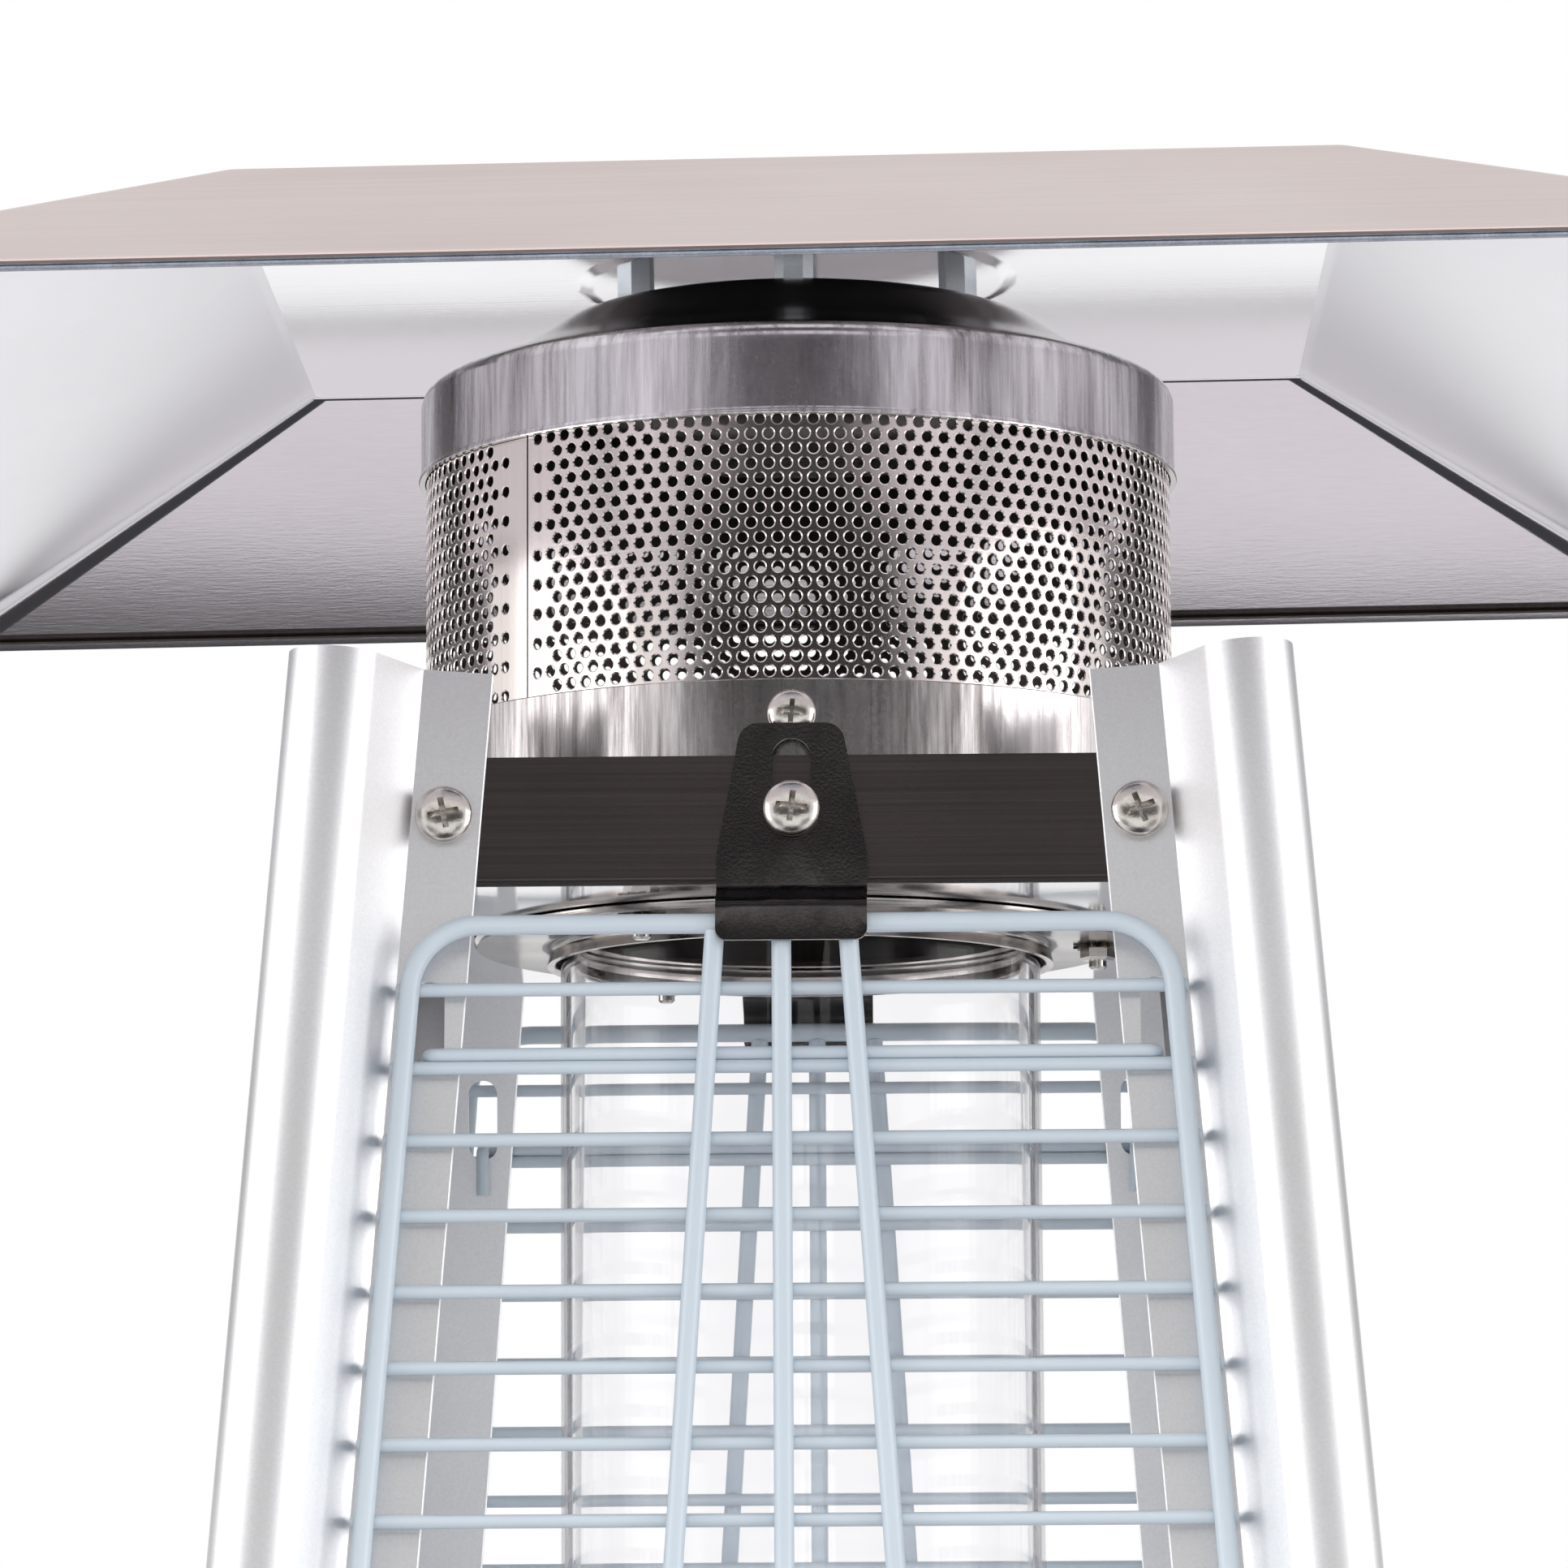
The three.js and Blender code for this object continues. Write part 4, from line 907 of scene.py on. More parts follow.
def folded(
    name: str,
    outline: list[Pair],
    holes: list[list[Pair]],
    levels: list[float],
    reach: "dict[float, float]",
    thickness: float,
) -> bpy.types.Mesh:
    """Bent strip of sheet in a face, from its outline as seen from the front.

    Args:
        name: Name of the mesh.
        outline: Points in x and z.
        holes: Outlines of its holes.
        levels: Heights where the strip bends.
        reach: Distance outwards of its back at each of those heights and at its ends.
        thickness: Thickness of the sheet.

    Returns:
        The mesh.
    """
    work = bmesh.new()
    edges = []
    for loop in [outline, *holes]:
        corners = [work.verts.new((x, 0.0, z)) for x, z in loop]
        edges += [work.edges.new((corners[i - 1], corners[i])) for i in range(len(corners))]
    bmesh.ops.triangle_fill(work, use_beauty=True, edges=edges, normal=(0.0, -1.0, 0.0))
    for level in levels:
        geometry = work.verts[:] + work.edges[:] + work.faces[:]
        bmesh.ops.bisect_plane(work, geom=geometry, plane_co=(0, 0, level), plane_no=(0, 0, 1))
    known = sorted(reach)
    for vertex in work.verts:
        height = vertex.co.z
        low = max((k for k in known if k <= height + 1e-9), default=known[0])
        high = min((k for k in known if k >= height - 1e-9), default=known[-1])
        share = 0.0 if high == low else (height - low) / (high - low)
        vertex.co.y = -(reach[low] + (reach[high] - reach[low]) * share)
    bmesh.ops.recalc_face_normals(work, faces=work.faces)
    if sum(f.normal.y * f.calc_area() for f in work.faces) > 0:
        bmesh.ops.reverse_faces(work, faces=work.faces)
    mesh = bpy.data.meshes.new(name)
    work.to_mesh(mesh)
    work.free()
    solid = {"thickness": thickness, "offset": 1.0, "use_even_offset": True}
    return worked(mesh, "SOLIDIFY", solid, 30.0)


# The heater


@dataclass(frozen=True)
class Pyramid:
    """Leaning faces that the posts, guards and panels follow."""

    head: float = 2.144
    face: float = 0.0863
    taper: float = 0.0774

    @property
    def lean(self) -> float:
        """Angle of a face from upright."""
        return math.atan(self.taper)

    @property
    def rate(self) -> float:
        """Half width lost per unit up the face."""
        return self.taper * math.cos(self.lean)

    def level(self, rise: float) -> float:
        """Height above the floor of a rise above the tray screws."""
        return self.head + rise

    def distance(self, height: float) -> float:
        """Distance from the axis to a face at a height."""
        return self.face + self.taper * (self.head - height)

    def along(self, height: float) -> float:
        """Distance up a face from the tray screws to a height."""
        return (height - self.head) / math.cos(self.lean)

    def half(self, along: float) -> float:
        """Half width of a face at a distance up it."""
        return self.face - self.rate * along

    def frame(self, side: Side) -> Matrix:
        """Frame of a face, zero at the tray screws.

        Args:
            side: Which face.

        Returns:
            Matrix from the face's frame to the heater's.
        """
        turn = Matrix.Rotation(side.value * math.pi / 2, 4, "Z")
        lift = Matrix.Translation((0.0, -self.face, self.head))
        return turn @ lift @ Matrix.Rotation(-self.lean, 4, "X")


PYRAMID = Pyramid()
MM = 0.001
HEXAGON = [math.pi / 3 * step for step in range(6)]
SHEET_GAP = 0.3 * MM
POST_WALL = 1.5 * MM
BEHIND_POST = POST_WALL + SHEET_GAP
SLOT_WIDTH = 6.3 * MM
SLOT_HEIGHT = 17.5 * MM
SLOT_DROP = 42 * MM


@dataclass
class Assembly:
    """Base of every sub-assembly: puts pieces in the scene and tells of them."""

    body: str = "heater"

    def fit(
        self,
        name: str,
        mesh: bpy.types.Mesh,
        finishes: "Finish | list[Finish]",
        slot: str,
        stands_for: "tuple[str, ...]" = (),
        place: "Matrix | None" = None,
        body: "str | None" = None,
    ) -> bpy.types.Object:
        """Put a piece in the scene.

        Args:
            name: Name of the piece.
            mesh: Its mesh.
            finishes: Its finish, or one for each mark of the mesh.
            slot: Material slot of the record that it follows; not used.
            stands_for: Frame nodes that it replaces.
            place: Its place, if not as made.
            body: Body that it rides on, if not this assembly's own.

        Returns:
            The piece.
        """
        piece = bpy.data.objects.new(name, mesh)
        bpy.context.scene.collection.objects.link(piece)
        chosen = finishes if isinstance(finishes, list) else [finishes]
        while len(mesh.materials) < len(chosen):
            mesh.materials.append(None)
        for number, finish in enumerate(chosen):
            mesh.materials[number] = finish.material()
        piece.matrix_world = place or Matrix.Identity(4)
        piece.modifiers.new("flat_normals", "WEIGHTED_NORMAL").keep_sharp = True
        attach(piece, body or self.body)
        if stands_for:
            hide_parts(*stands_for)
        log.info("%s: %d faces, on %s", name, len(mesh.polygons), body or self.body)
        return piece

    def redress(self, nodes: dict, names: "list[str]", finish: Finish) -> None:
        """Give frame nodes that keep their shape a finish.

        Args:
            nodes: Frame nodes by name.
            names: Which of them.
            finish: Their finish.
        """
        for name in names:
            node = nodes[name]
            node.data.materials.clear()
            node.data.materials.append(finish.material())
            log.info("%s: kept from the frame, %s", name, finish.name)


def pan_screw(radius: float, height: float, length: float, name: str) -> bpy.types.Mesh:
    """Pan head machine screw with a cross recess, head towards -y, seat at zero.

    Args:
        radius: Radius of the head.
        height: Height of the head.
        length: Length of the shank.
        name: Name of the mesh.

    Returns:
        The mesh.
    """
    rim = height * 0.38
    dome = []
    arc = 8
    for step in range(arc):
        turn = math.pi / 2 * step / arc
        dome.append((radius * math.cos(turn) ** 0.8, rim + (height - rim) * math.sin(turn)))
    shank = radius * 0.5
    profile = [(0.0, -length), (shank * 0.8, -length), (shank, -length + shank * 0.3), (shank, 0.0)]
    profile += [(radius * 0.96, 0.0), (radius, rim * 0.25), *dome, (0.0, height)]
    body = Skin().turned(profile, 40, closed=False).mesh(name, 50.0)
    wide, narrow, blade = radius * 0.6, radius * 0.34, radius * 0.11
    rings = []
    for reach, level, half in ((narrow, height * 0.3, blade * 0.6), (wide, height * 1.1, blade)):
        ring = []
        for turn in range(4):
            spin = Matrix.Rotation(turn * math.pi / 2, 3, "Z")
            corners = ((half, half), (half, reach), (-half, reach))
            ring += [spin @ Vector((x, y, level)) for x, y in corners]
        rings.append(ring)
    recess = Skin().rings(rings, caps=True)
    mesh = carved(body, recess, 38.0)
    mesh.transform(Matrix.Rotation(math.pi / 2, 4, "X"))
    return mesh


@dataclass
class Posts(Assembly):
    """Four corner extrusions with a round nose, hook slots and the screws of the tray."""

    wall: float = POST_WALL
    flange: float = 14 * MM
    inset: float = 10.95 * MM
    nose_reach: float = 5.6 * MM
    nose_radius: float = 10 * MM
    top_rise: float = 30.6 * MM
    bottom: float = 78.3 * MM
    slot_reach: float = 6 * MM
    edge: float = 0.25 * MM
    screw_inset: float = 17.5 * MM
    screw_lift: float = 0.15 * MM
    panel_levels: tuple[float, ...] = (0.14, 0.42, 0.66, 0.85)
    panel_screw_lift: float = 1.45 * MM
    panel_screw_size: float = 0.72

    def section(self) -> list[Pair]:
        """Closed section, the corner of the two face planes at zero, outwards positive.

        Returns:
            Its points, in order.
        """
        reach = math.hypot(self.nose_reach + self.inset, self.nose_reach)
        side = math.atan2(self.nose_reach, self.nose_reach + self.inset)
        side += math.asin(self.nose_radius / reach)
        inner = self.inset - self.wall * math.tan(side / 2)
        end = self.inset + self.flange
        steps = 28
        span = math.pi / 2 + 2 * side
        sweep = [math.pi / 2 + side - span * step / steps for step in range(steps + 1)]
        nose, edge = self.nose_reach, self.edge
        outer, hollow = (
            [(nose + radius * math.cos(t), nose + radius * math.sin(t)) for t in sweep]
            for radius in (self.nose_radius, self.nose_radius - self.wall)
        )
        hollow.reverse()
        return [
            (-end + edge, 0.0), (-self.inset, 0.0), *outer, (0.0, -self.inset), (0.0, -end + edge),
            (-edge, -end), (-self.wall + edge, -end), (-self.wall, -end + edge),
            (-self.wall, -inner), *hollow, (-inner, -self.wall), (-end + edge, -self.wall),
            (-end, -self.wall + edge), (-end, -edge),
        ]

    def slots(self) -> Skin:
        """Cutter for the two hook slots of one post.

        Returns:
            The cutter's skin.
        """
        along = PYRAMID.along(PYRAMID.head - SLOT_DROP)
        middle = PYRAMID.half(along) - self.inset - self.flange / 2
        low, high = along - SLOT_HEIGHT / 2, along + SLOT_HEIGHT / 2
        cutter = Skin()
        for side, x in ((Side.RIGHT, middle), (Side.BACK, -middle)):
            half = SLOT_WIDTH / 2
            corners = [(x - half, low), (x + half, low), (x + half, high), (x - half, high)]
            loop = rounded(corners, half * 0.999, 8)
            reach = self.slot_reach
            rings = [[Vector((a, y, b)) for a, b in loop] for y in (-reach, reach)]
            cutter.add(Skin().rings(rings, caps=True), PYRAMID.frame(side))
        return cutter

    def build(self, screw: bpy.types.Mesh) -> None:
        """Make the four posts and the screws in their flanges.

        Args:
            screw: Mesh of a pan head screw.
        """
        taper = PYRAMID.taper
        section = self.section()
        rings = []
        top = PYRAMID.head + self.top_rise
        for at_top in (False, True):
            ring = []
            for x, y in section:
                cut = taper * (x + y) / (1 + 2 * taper**2) if at_top else 0.0
                height = (top if at_top else self.bottom) + cut
                face = PYRAMID.distance(height)
                ring.append(Vector((face + x, face + y, height)))
            rings.append(ring)
        mesh = carved(Skin().rings(rings, caps=True).mesh("post"), self.slots(), 25.0)
        corners = ("back_right", "back_left", "front_left", "front_right")
        for turn, corner in enumerate(corners):
            place = Matrix.Rotation(turn * math.pi / 2, 4, "Z")
            node = f"post_{corner}"
            self.fit(f"{node}_extrusion", mesh, POST_METAL, "post_steel", (node,), place)
        for side in Side:
            for row, height in enumerate((PYRAMID.head, *self.panel_levels)):
                if side is Side.FRONT and 0 < row < len(self.panel_levels):
                    continue
                along = PYRAMID.along(height)
                lift = self.panel_screw_lift if row else self.screw_lift
                size = Matrix.Scale(self.panel_screw_size if row else 1.0, 4)
                for hand, sign in (("left", -1), ("right", 1)):
                    x = sign * (PYRAMID.half(along) - self.screw_inset)
                    turn = Matrix.Rotation(0.5 + row + side.value + sign * 0.7, 4, "Y")
                    place = PYRAMID.frame(side) @ Matrix.Translation((x, -lift, along)) @ turn
                    name = f"flange_screw_{side.label}_{hand}_{row}"
                    self.fit(name, screw, SCREW_STEEL, "zinc", (), place @ size)


@dataclass
class Guards(Assembly):
    """Wire guards hooked in the posts' slots, each with its clip and clip screw."""

    frame_radius: float = 2.0 * MM
    rod_radius: float = 1.95 * MM
    wire_radius: float = 1.35 * MM
    frame_out: float = 4.85 * MM
    wire_out: float = 1.75 * MM
    inset: float = 12.05 * MM
    top_drop: float = 21.2 * MM
    bottom: float = 873 * MM
    corner: float = 15.5 * MM
    first_drop: float = 35.5 * MM
    pitch: float = 15 * MM
    rod_top: float = 13.1 * MM
    rod_bottom: float = 96 * MM
    rod_shift: float = -2.0 * MM
    rod_out: float = 4.9 * MM
    hook_tail: float = 10 * MM
    hook_bend: float = 2.2 * MM
    hook_rest: float = 0.6 * MM
    overhang: float = 0.9 * MM
    slot_middle: float = 17.95 * MM
    sheet: float = 1.0 * MM
    clip_seat: float = -1.5 * MM
    lip_seat: float = 7.55 * MM
    clip_half: float = 29.8 / 2 * MM
    clip_head_half: float = 19.9 / 2 * MM
    clip_top: float = 18.5 * MM
    clip_shoulder: float = -8 * MM
    clip_lip: float = -27.3 * MM
    clip_radii: tuple[float, ...] = (2.2 * MM, 2.2 * MM, 5 * MM, 4 * MM, 4 * MM, 5 * MM)
    clip_step: Pair = (-15.5 * MM, -20.3 * MM)
    clip_slot_half: float = 7.6 / 2 * MM
    clip_slot: Pair = (-4.7 * MM, 15.4 * MM)
    clip_edge: float = 0.2 * MM
    screw_seat: Triple = (0.0, 0.2 * MM, 0.9 * MM)

    def half(self, along: float) -> float:
        """Half width of the frame's outer edge at a distance up the face."""
        return PYRAMID.half(along) - self.inset

    def wires(self) -> bpy.types.Mesh:
        """Mesh of one guard in its face's frame.

        Returns:
            The mesh.
        """
        top = PYRAMID.along(PYRAMID.head - self.top_drop)
        bottom = PYRAMID.along(self.bottom) + SHEET_GAP
        skin = Skin()
        inset = self.frame_radius * math.hypot(1, PYRAMID.rate)
        low, high = bottom + self.frame_radius, top - self.frame_radius
        wide, narrow = self.half(low) - inset, self.half(high) - inset
        corners = [(-wide, low), (wide, low), (narrow, high), (-narrow, high)]
        loop = rounded(corners, self.corner - self.frame_radius, 9)
        path = [Vector((x, -self.frame_out, z)) for x, z in loop]
        skin.sweep(path, self.frame_radius, 16, closed=True)
        overlap = self.frame_radius * 0.6
        for place in (-1, 0, 1):
            foot = (place * self.rod_bottom, -self.rod_out, low + overlap)
            head = (place * self.rod_top + self.rod_shift, -self.rod_out, high - overlap)
            skin.rod(foot, head, self.rod_radius, 14)
        half = SLOT_WIDTH / 2
        bend = half - math.sqrt(half**2 - self.wire_radius**2)
        rest = bend + self.hook_rest + self.wire_radius
        slot = PYRAMID.along(PYRAMID.head - SLOT_DROP)
        hook = slot - SLOT_HEIGHT / 2 + rest
        first = PYRAMID.along(PYRAMID.head - self.first_drop)
        count = int((first - bottom - 2 * self.frame_radius - self.pitch / 2) / self.pitch) + 1
        for index in range(count):
            level = first - index * self.pitch
            if abs(level - hook) < self.pitch / 2:
                level = hook - 2 * self.wire_radius + 0.1 * MM
            reach = self.half(level) + self.overhang
            ends = [(sign * reach, -self.wire_out, level) for sign in (-1, 1)]
            skin.rod(ends[0], ends[1], self.wire_radius, 10)
        return self.hook_wire(skin, hook, PYRAMID.half(slot) - self.slot_middle).mesh("guard", 40.0)

    def hook_wire(self, skin: Skin, level: float, reach: float) -> Skin:
        """Wire whose ends pass through the slots and turn down behind the flanges.

        Args:
            skin: Skin to add it to.
            level: Height of the wire up the face.
            reach: Half its width.

        Returns:
            The same skin.
        """
        behind = BEHIND_POST + self.wire_radius
        path = []
        for sign in (-1, 1):
            corners = [
                Vector((sign * reach * 0.5, -self.wire_out, level)),
                Vector((sign * reach, -self.wire_out, level)),
                Vector((sign * reach, behind, level)),
                Vector((sign * reach, behind, level - self.hook_tail)),
            ]
            span = min(self.hook_bend, (corners[2] - corners[1]).length * 0.48)
            arm = [corners[0]]
            for here in (1, 2):
                back = (corners[here - 1] - corners[here]).normalized()
                ahead = (corners[here + 1] - corners[here]).normalized()
                for step in range(6):
                    share = step / 5
                    first = corners[here] + back * span * (1 - share)
                    second = corners[here] + ahead * span * share
                    arm.append(first.lerp(second, share))
            arm.append(corners[3])
            path = arm[::-1] if sign < 0 else path + arm
        return skin.sweep(path, self.wire_radius, 10, across=(1.0, 0.0, 0.0))

    def clip(self) -> bpy.types.Mesh:
        """Mesh of one clip: a bent strip with a slot, drawn in towards its top.

        Returns:
            The mesh.
        """
        wide, narrow = self.clip_half, self.clip_head_half
        lip, shoulder, top = self.clip_lip, self.clip_shoulder, self.clip_top
        corners = [(-wide, lip), (wide, lip), (wide, shoulder)]
        corners += [(narrow, top), (-narrow, top), (-wide, shoulder)]
        outline = rounded(corners, list(self.clip_radii), 6)
        half, (low, high) = self.clip_slot_half, self.clip_slot
        hole = rounded([(-half, low), (half, low), (half, high), (-half, high)], half * 0.999, 8)
        first, last = self.clip_step
        reach = {top: self.clip_seat, lip: self.lip_seat}
        steps = 8
        for step in range(steps + 1):
            share = step / steps
            curve = share * share * (3 - 2 * share)
            level = first + 1 * MM + (last - first - 2 * MM) * share
            reach[level] = self.clip_seat + (self.lip_seat - self.clip_seat) * curve
        levels = [level for level in reach if lip < level < top]
        mesh = folded("clip", outline, [hole], levels, reach, self.sheet)
        return eased(mesh, self.clip_edge, 1)

    def build(self, screw: bpy.types.Mesh) -> None:
        """Make the four guards with their clips and screws.

        Args:
            screw: Mesh of a pan head screw.
        """
        wires, clip = self.wires(), self.clip()
        for side in Side:
            label, frame = side.label, PYRAMID.frame(side)
            node = f"guard_{label}"
            self.fit(f"{node}_wires", wires, WIRE_COAT, "wire_paint", (node,), frame)
            node = f"guard_clip_{label}"
            steels = [CLIP_STEEL, CUT_STEEL]
            name, body = f"{node}_strip", f"clip_{label}"
            self.fit(name, clip, steels, "dark_steel", (node,), frame, body)
            turn = Matrix.Rotation(0.12 + side.value * 0.8, 4, "Y")
            place = frame @ Matrix.Translation(self.screw_seat) @ turn
            node = f"clip_screw_{label}"
            self.fit(f"{node}_pan", screw, SCREW_STEEL, "zinc", (node,), place)


@dataclass
class Screen:
    """Perforated band with staggered holes and a lap seam, its rows climbing round it."""

    outer: float = 78.1 * MM
    sheet: float = 0.5 * MM
    bend_radius: float = 79.2 * MM
    foot: float = -12.7 * MM
    top: float = 99 * MM
    hole: float = 1.12 * MM
    burr: float = 0.26 * MM
    burr_depth: float = 0.16 * MM
    segments: int = 16
    row: float = 3.015 * MM
    rows: int = 18
    first_row: float = 81.3 * MM
    column: float = 2.6426
    columns: int = 133
    first_column: float = -41.53
    lap: float = -45.6
    seam: float = -43.62
    seam_half: float = 0.16
    skew: float = 0.54 * MM
    skin: Skin = field(default_factory=Skin)
    numbers: dict[tuple, int] = field(default_factory=dict)

    @property
    def inner(self) -> float:
        """Radius of the inside."""
        return self.outer - self.sheet

    @property
    def last(self) -> int:
        """Number of half columns before the seam."""
        return 2 * self.columns + 3

    def angle(self, column: float) -> float:
        """Turn of a half column, in degrees from the front."""
        return self.first_column + (column - 1) * self.column / 2

    def stations(self) -> list[float]:
        """Turns of all upright edges, the seam's own ones last."""
        seam = (self.lap, self.seam - self.seam_half, self.seam + self.seam_half)
        return [self.angle(step) for step in range(self.last + 1)] + [360 + turn for turn in seam]

    def at_seam(self, turn: float, radius: float) -> bool:
        """Whether the cell from this turn on is the seam's gap in the outside."""
        start = self.seam - self.seam_half
        return radius == self.outer and abs(turn - 360 - start) < 1e-6

    def tilt(self, turn: float, rise: float) -> float:
        """Rise of a row at a turn."""
        return rise - self.skew * ((turn - self.seam) % 360) / 360

    def border(self, turn: float, rise: float) -> float:
        """Rise of a plain band's edge: level at foot and top, else that of the rows."""
        return rise if rise in (self.foot, self.top) else self.tilt(turn, rise)

    def vertex(self, turn: float, rise: float, radius: float) -> int:
        """Number of the vertex at a turn, rise and radius, made at first use.

        Args:
            turn: Its turn, in degrees from the front.
            rise: Its rise.
            radius: Its radius.

        Returns:
            Its number.
        """
        key = (round(turn % 360, 4), round(rise * 1e6), round(radius * 1e6))
        if key not in self.numbers:
            t = math.radians(turn - 90)
            self.numbers[key] = len(self.skin.vertices)
            place = (radius * math.cos(t), radius * math.sin(t), PYRAMID.level(rise))
            self.skin.vertices.append(Vector(place))
        return self.numbers[key]

    def loop(self, middle: float, centre: float, rim: float, radius: float) -> list[int]:
        """Vertices round a hole.

        Args:
            middle: Turn of its centre.
            centre: Rise of its centre.
            rim: Its radius.
            radius: Radius of the surface it lies in.

        Returns:
            Their numbers.
        """
        numbers = []
        for t in around(self.segments):
            turn = middle + math.degrees(rim * math.cos(t) / self.bend_radius)
            rise = self.tilt(middle, centre) + rim * math.sin(t)
            numbers.append(self.vertex(turn, rise, radius))
        return numbers

    def cells(self, row: int) -> tuple[range, range]:
        """Half columns where the cells two wide start, and those of them that have a hole.

        Args:
            row: Number of the row from the top.

        Returns:
            Both ranges.
        """
        odd = row % 2
        end = self.last - 1
        return range(3 * odd, end, 2), range(3 * odd, end - 3 * (1 - odd), 2)

    def surface(self, radius: float) -> None:
        """Cells of the outside or the inside, row by row.

        Args:
            radius: Radius of the surface.
        """
        rim = self.hole + (self.burr if radius == self.outer else 0.0)
        top = self.first_row + self.row / 2
        stations = self.stations()[self.last :]
        for row in range(self.rows):
            high, low = top - row * self.row, top - (row + 1) * self.row
            paired, holed = self.cells(row)
            column = 0
            while column < self.last:
                wide = 2 if column in paired else 1
                spans = [self.angle(column + step) for step in range(wide + 1)]
                edge = [self.vertex(a, self.tilt(a, low), radius) for a in spans]
                edge += [self.vertex(a, self.tilt(a, high), radius) for a in reversed(spans)]
                if column in holed:
                    self.pierce(edge, self.loop(spans[1], (low + high) / 2, rim, radius))
                else:
                    self.skin.face(tuple(edge))
                column += wide
            for a, b in zip(stations, [*stations[1:], self.angle(0) + 360]):
                if self.at_seam(a, radius):
                    continue
                corners = [(a, low), (b, low), (b, high), (a, high)]
                self.skin.face(tuple(self.vertex(t, self.tilt(t, z), radius) for t, z in corners))

    def pierce(self, edge: list[int], hole: list[int]) -> None:
        """Fill a cell between its edge and its hole.

        Args:
            edge: Vertices of the cell's edge, from its lower left corner.
            hole: Vertices of the hole.
        """
        stops = dict(zip((225, 270, 315, 45, 90, 135), edge))
        order = sorted(stops)
        count = len(hole)
        for start, after in zip(order, order[1:] + order[:1]):
            end = after + (360 if after <= start else 0)
            first, final = round(start / 360 * count), round(end / 360 * count)
            arc = [hole[step % count] for step in range(first, final + 1)]
            self.skin.face((stops[start], stops[after], *reversed(arc)))

    def walls(self, row: int) -> None:
        """Burred walls of one row of holes.

        Args:
            row: Number of the row from the top.
        """
        centre = self.first_row - row * self.row
        rings = [
            (self.hole + self.burr, self.outer),
            (self.hole, self.outer - self.burr_depth),
            (self.hole, self.inner),
        ]
        for column in self.cells(row)[1]:
            middle = self.angle(column + 1)
            loops = [self.loop(middle, centre, rim, radius) for rim, radius in rings]
            for first, second in zip(loops, loops[1:]):
                for step in range(self.segments):
                    after = (step + 1) % self.segments
                    self.skin.face((first[step], first[after], second[after], second[step]))

    def bands(self) -> None:
        """Plain bands under and over the rows, and both ends of the sheet."""
        top_row = self.first_row + self.row / 2
        low_row = top_row - self.rows * self.row
        stations = self.stations()
        ring = [*stations, stations[0] + 360]
        for low, high in ((self.foot, low_row), (top_row, self.top)):
            for a, b in zip(ring, ring[1:]):
                for radius in (self.outer, self.inner):
                    if self.at_seam(a, radius):
                        continue
                    corners = [(a, low), (b, low), (b, high), (a, high)]
                    loop = [self.vertex(t, self.border(t, z), radius) for t, z in corners]
                    self.skin.face(tuple(loop), int(radius < self.outer))
        for a, b in zip(ring, ring[1:]):
            for rise in (self.foot, self.top):
                corners = [(a, self.outer), (b, self.outer), (b, self.inner), (a, self.inner)]
                self.skin.face(tuple(self.vertex(t, rise, r) for t, r in corners))

    def mesh(self) -> bpy.types.Mesh:
        """Mesh of the band, its inside and the walls of its holes with a mark of their own, which
        gets painted shade.

        Returns:
            The mesh.
        """
        for radius in (self.outer, self.inner):
            self.surface(radius)
        for row in range(self.rows):
            self.walls(row)
        skin = self.skin
        # Mark 1, painted shade, for the inside and the deep walls of the holes.
        skin.marks = [
            int(min(math.hypot(*skin.vertices[v].xy) for v in face) < self.outer - 0.2 * MM)
            for face in skin.faces
        ]
        self.bands()
        return skin.mesh("screen", 30.0, 1e-8)


class HoodMark(IntEnum):
    """Parts of the hood: the hem has its own finish, the others are lit and shaded tones of one
    steel, painted light and painted shade, and the gap mark is painted shadow.
    """

    OUTSIDE = 0
    HEM = 1
    INSIDE = 2
    CEILING = 3
    SIDES = 4
    GAP = 5


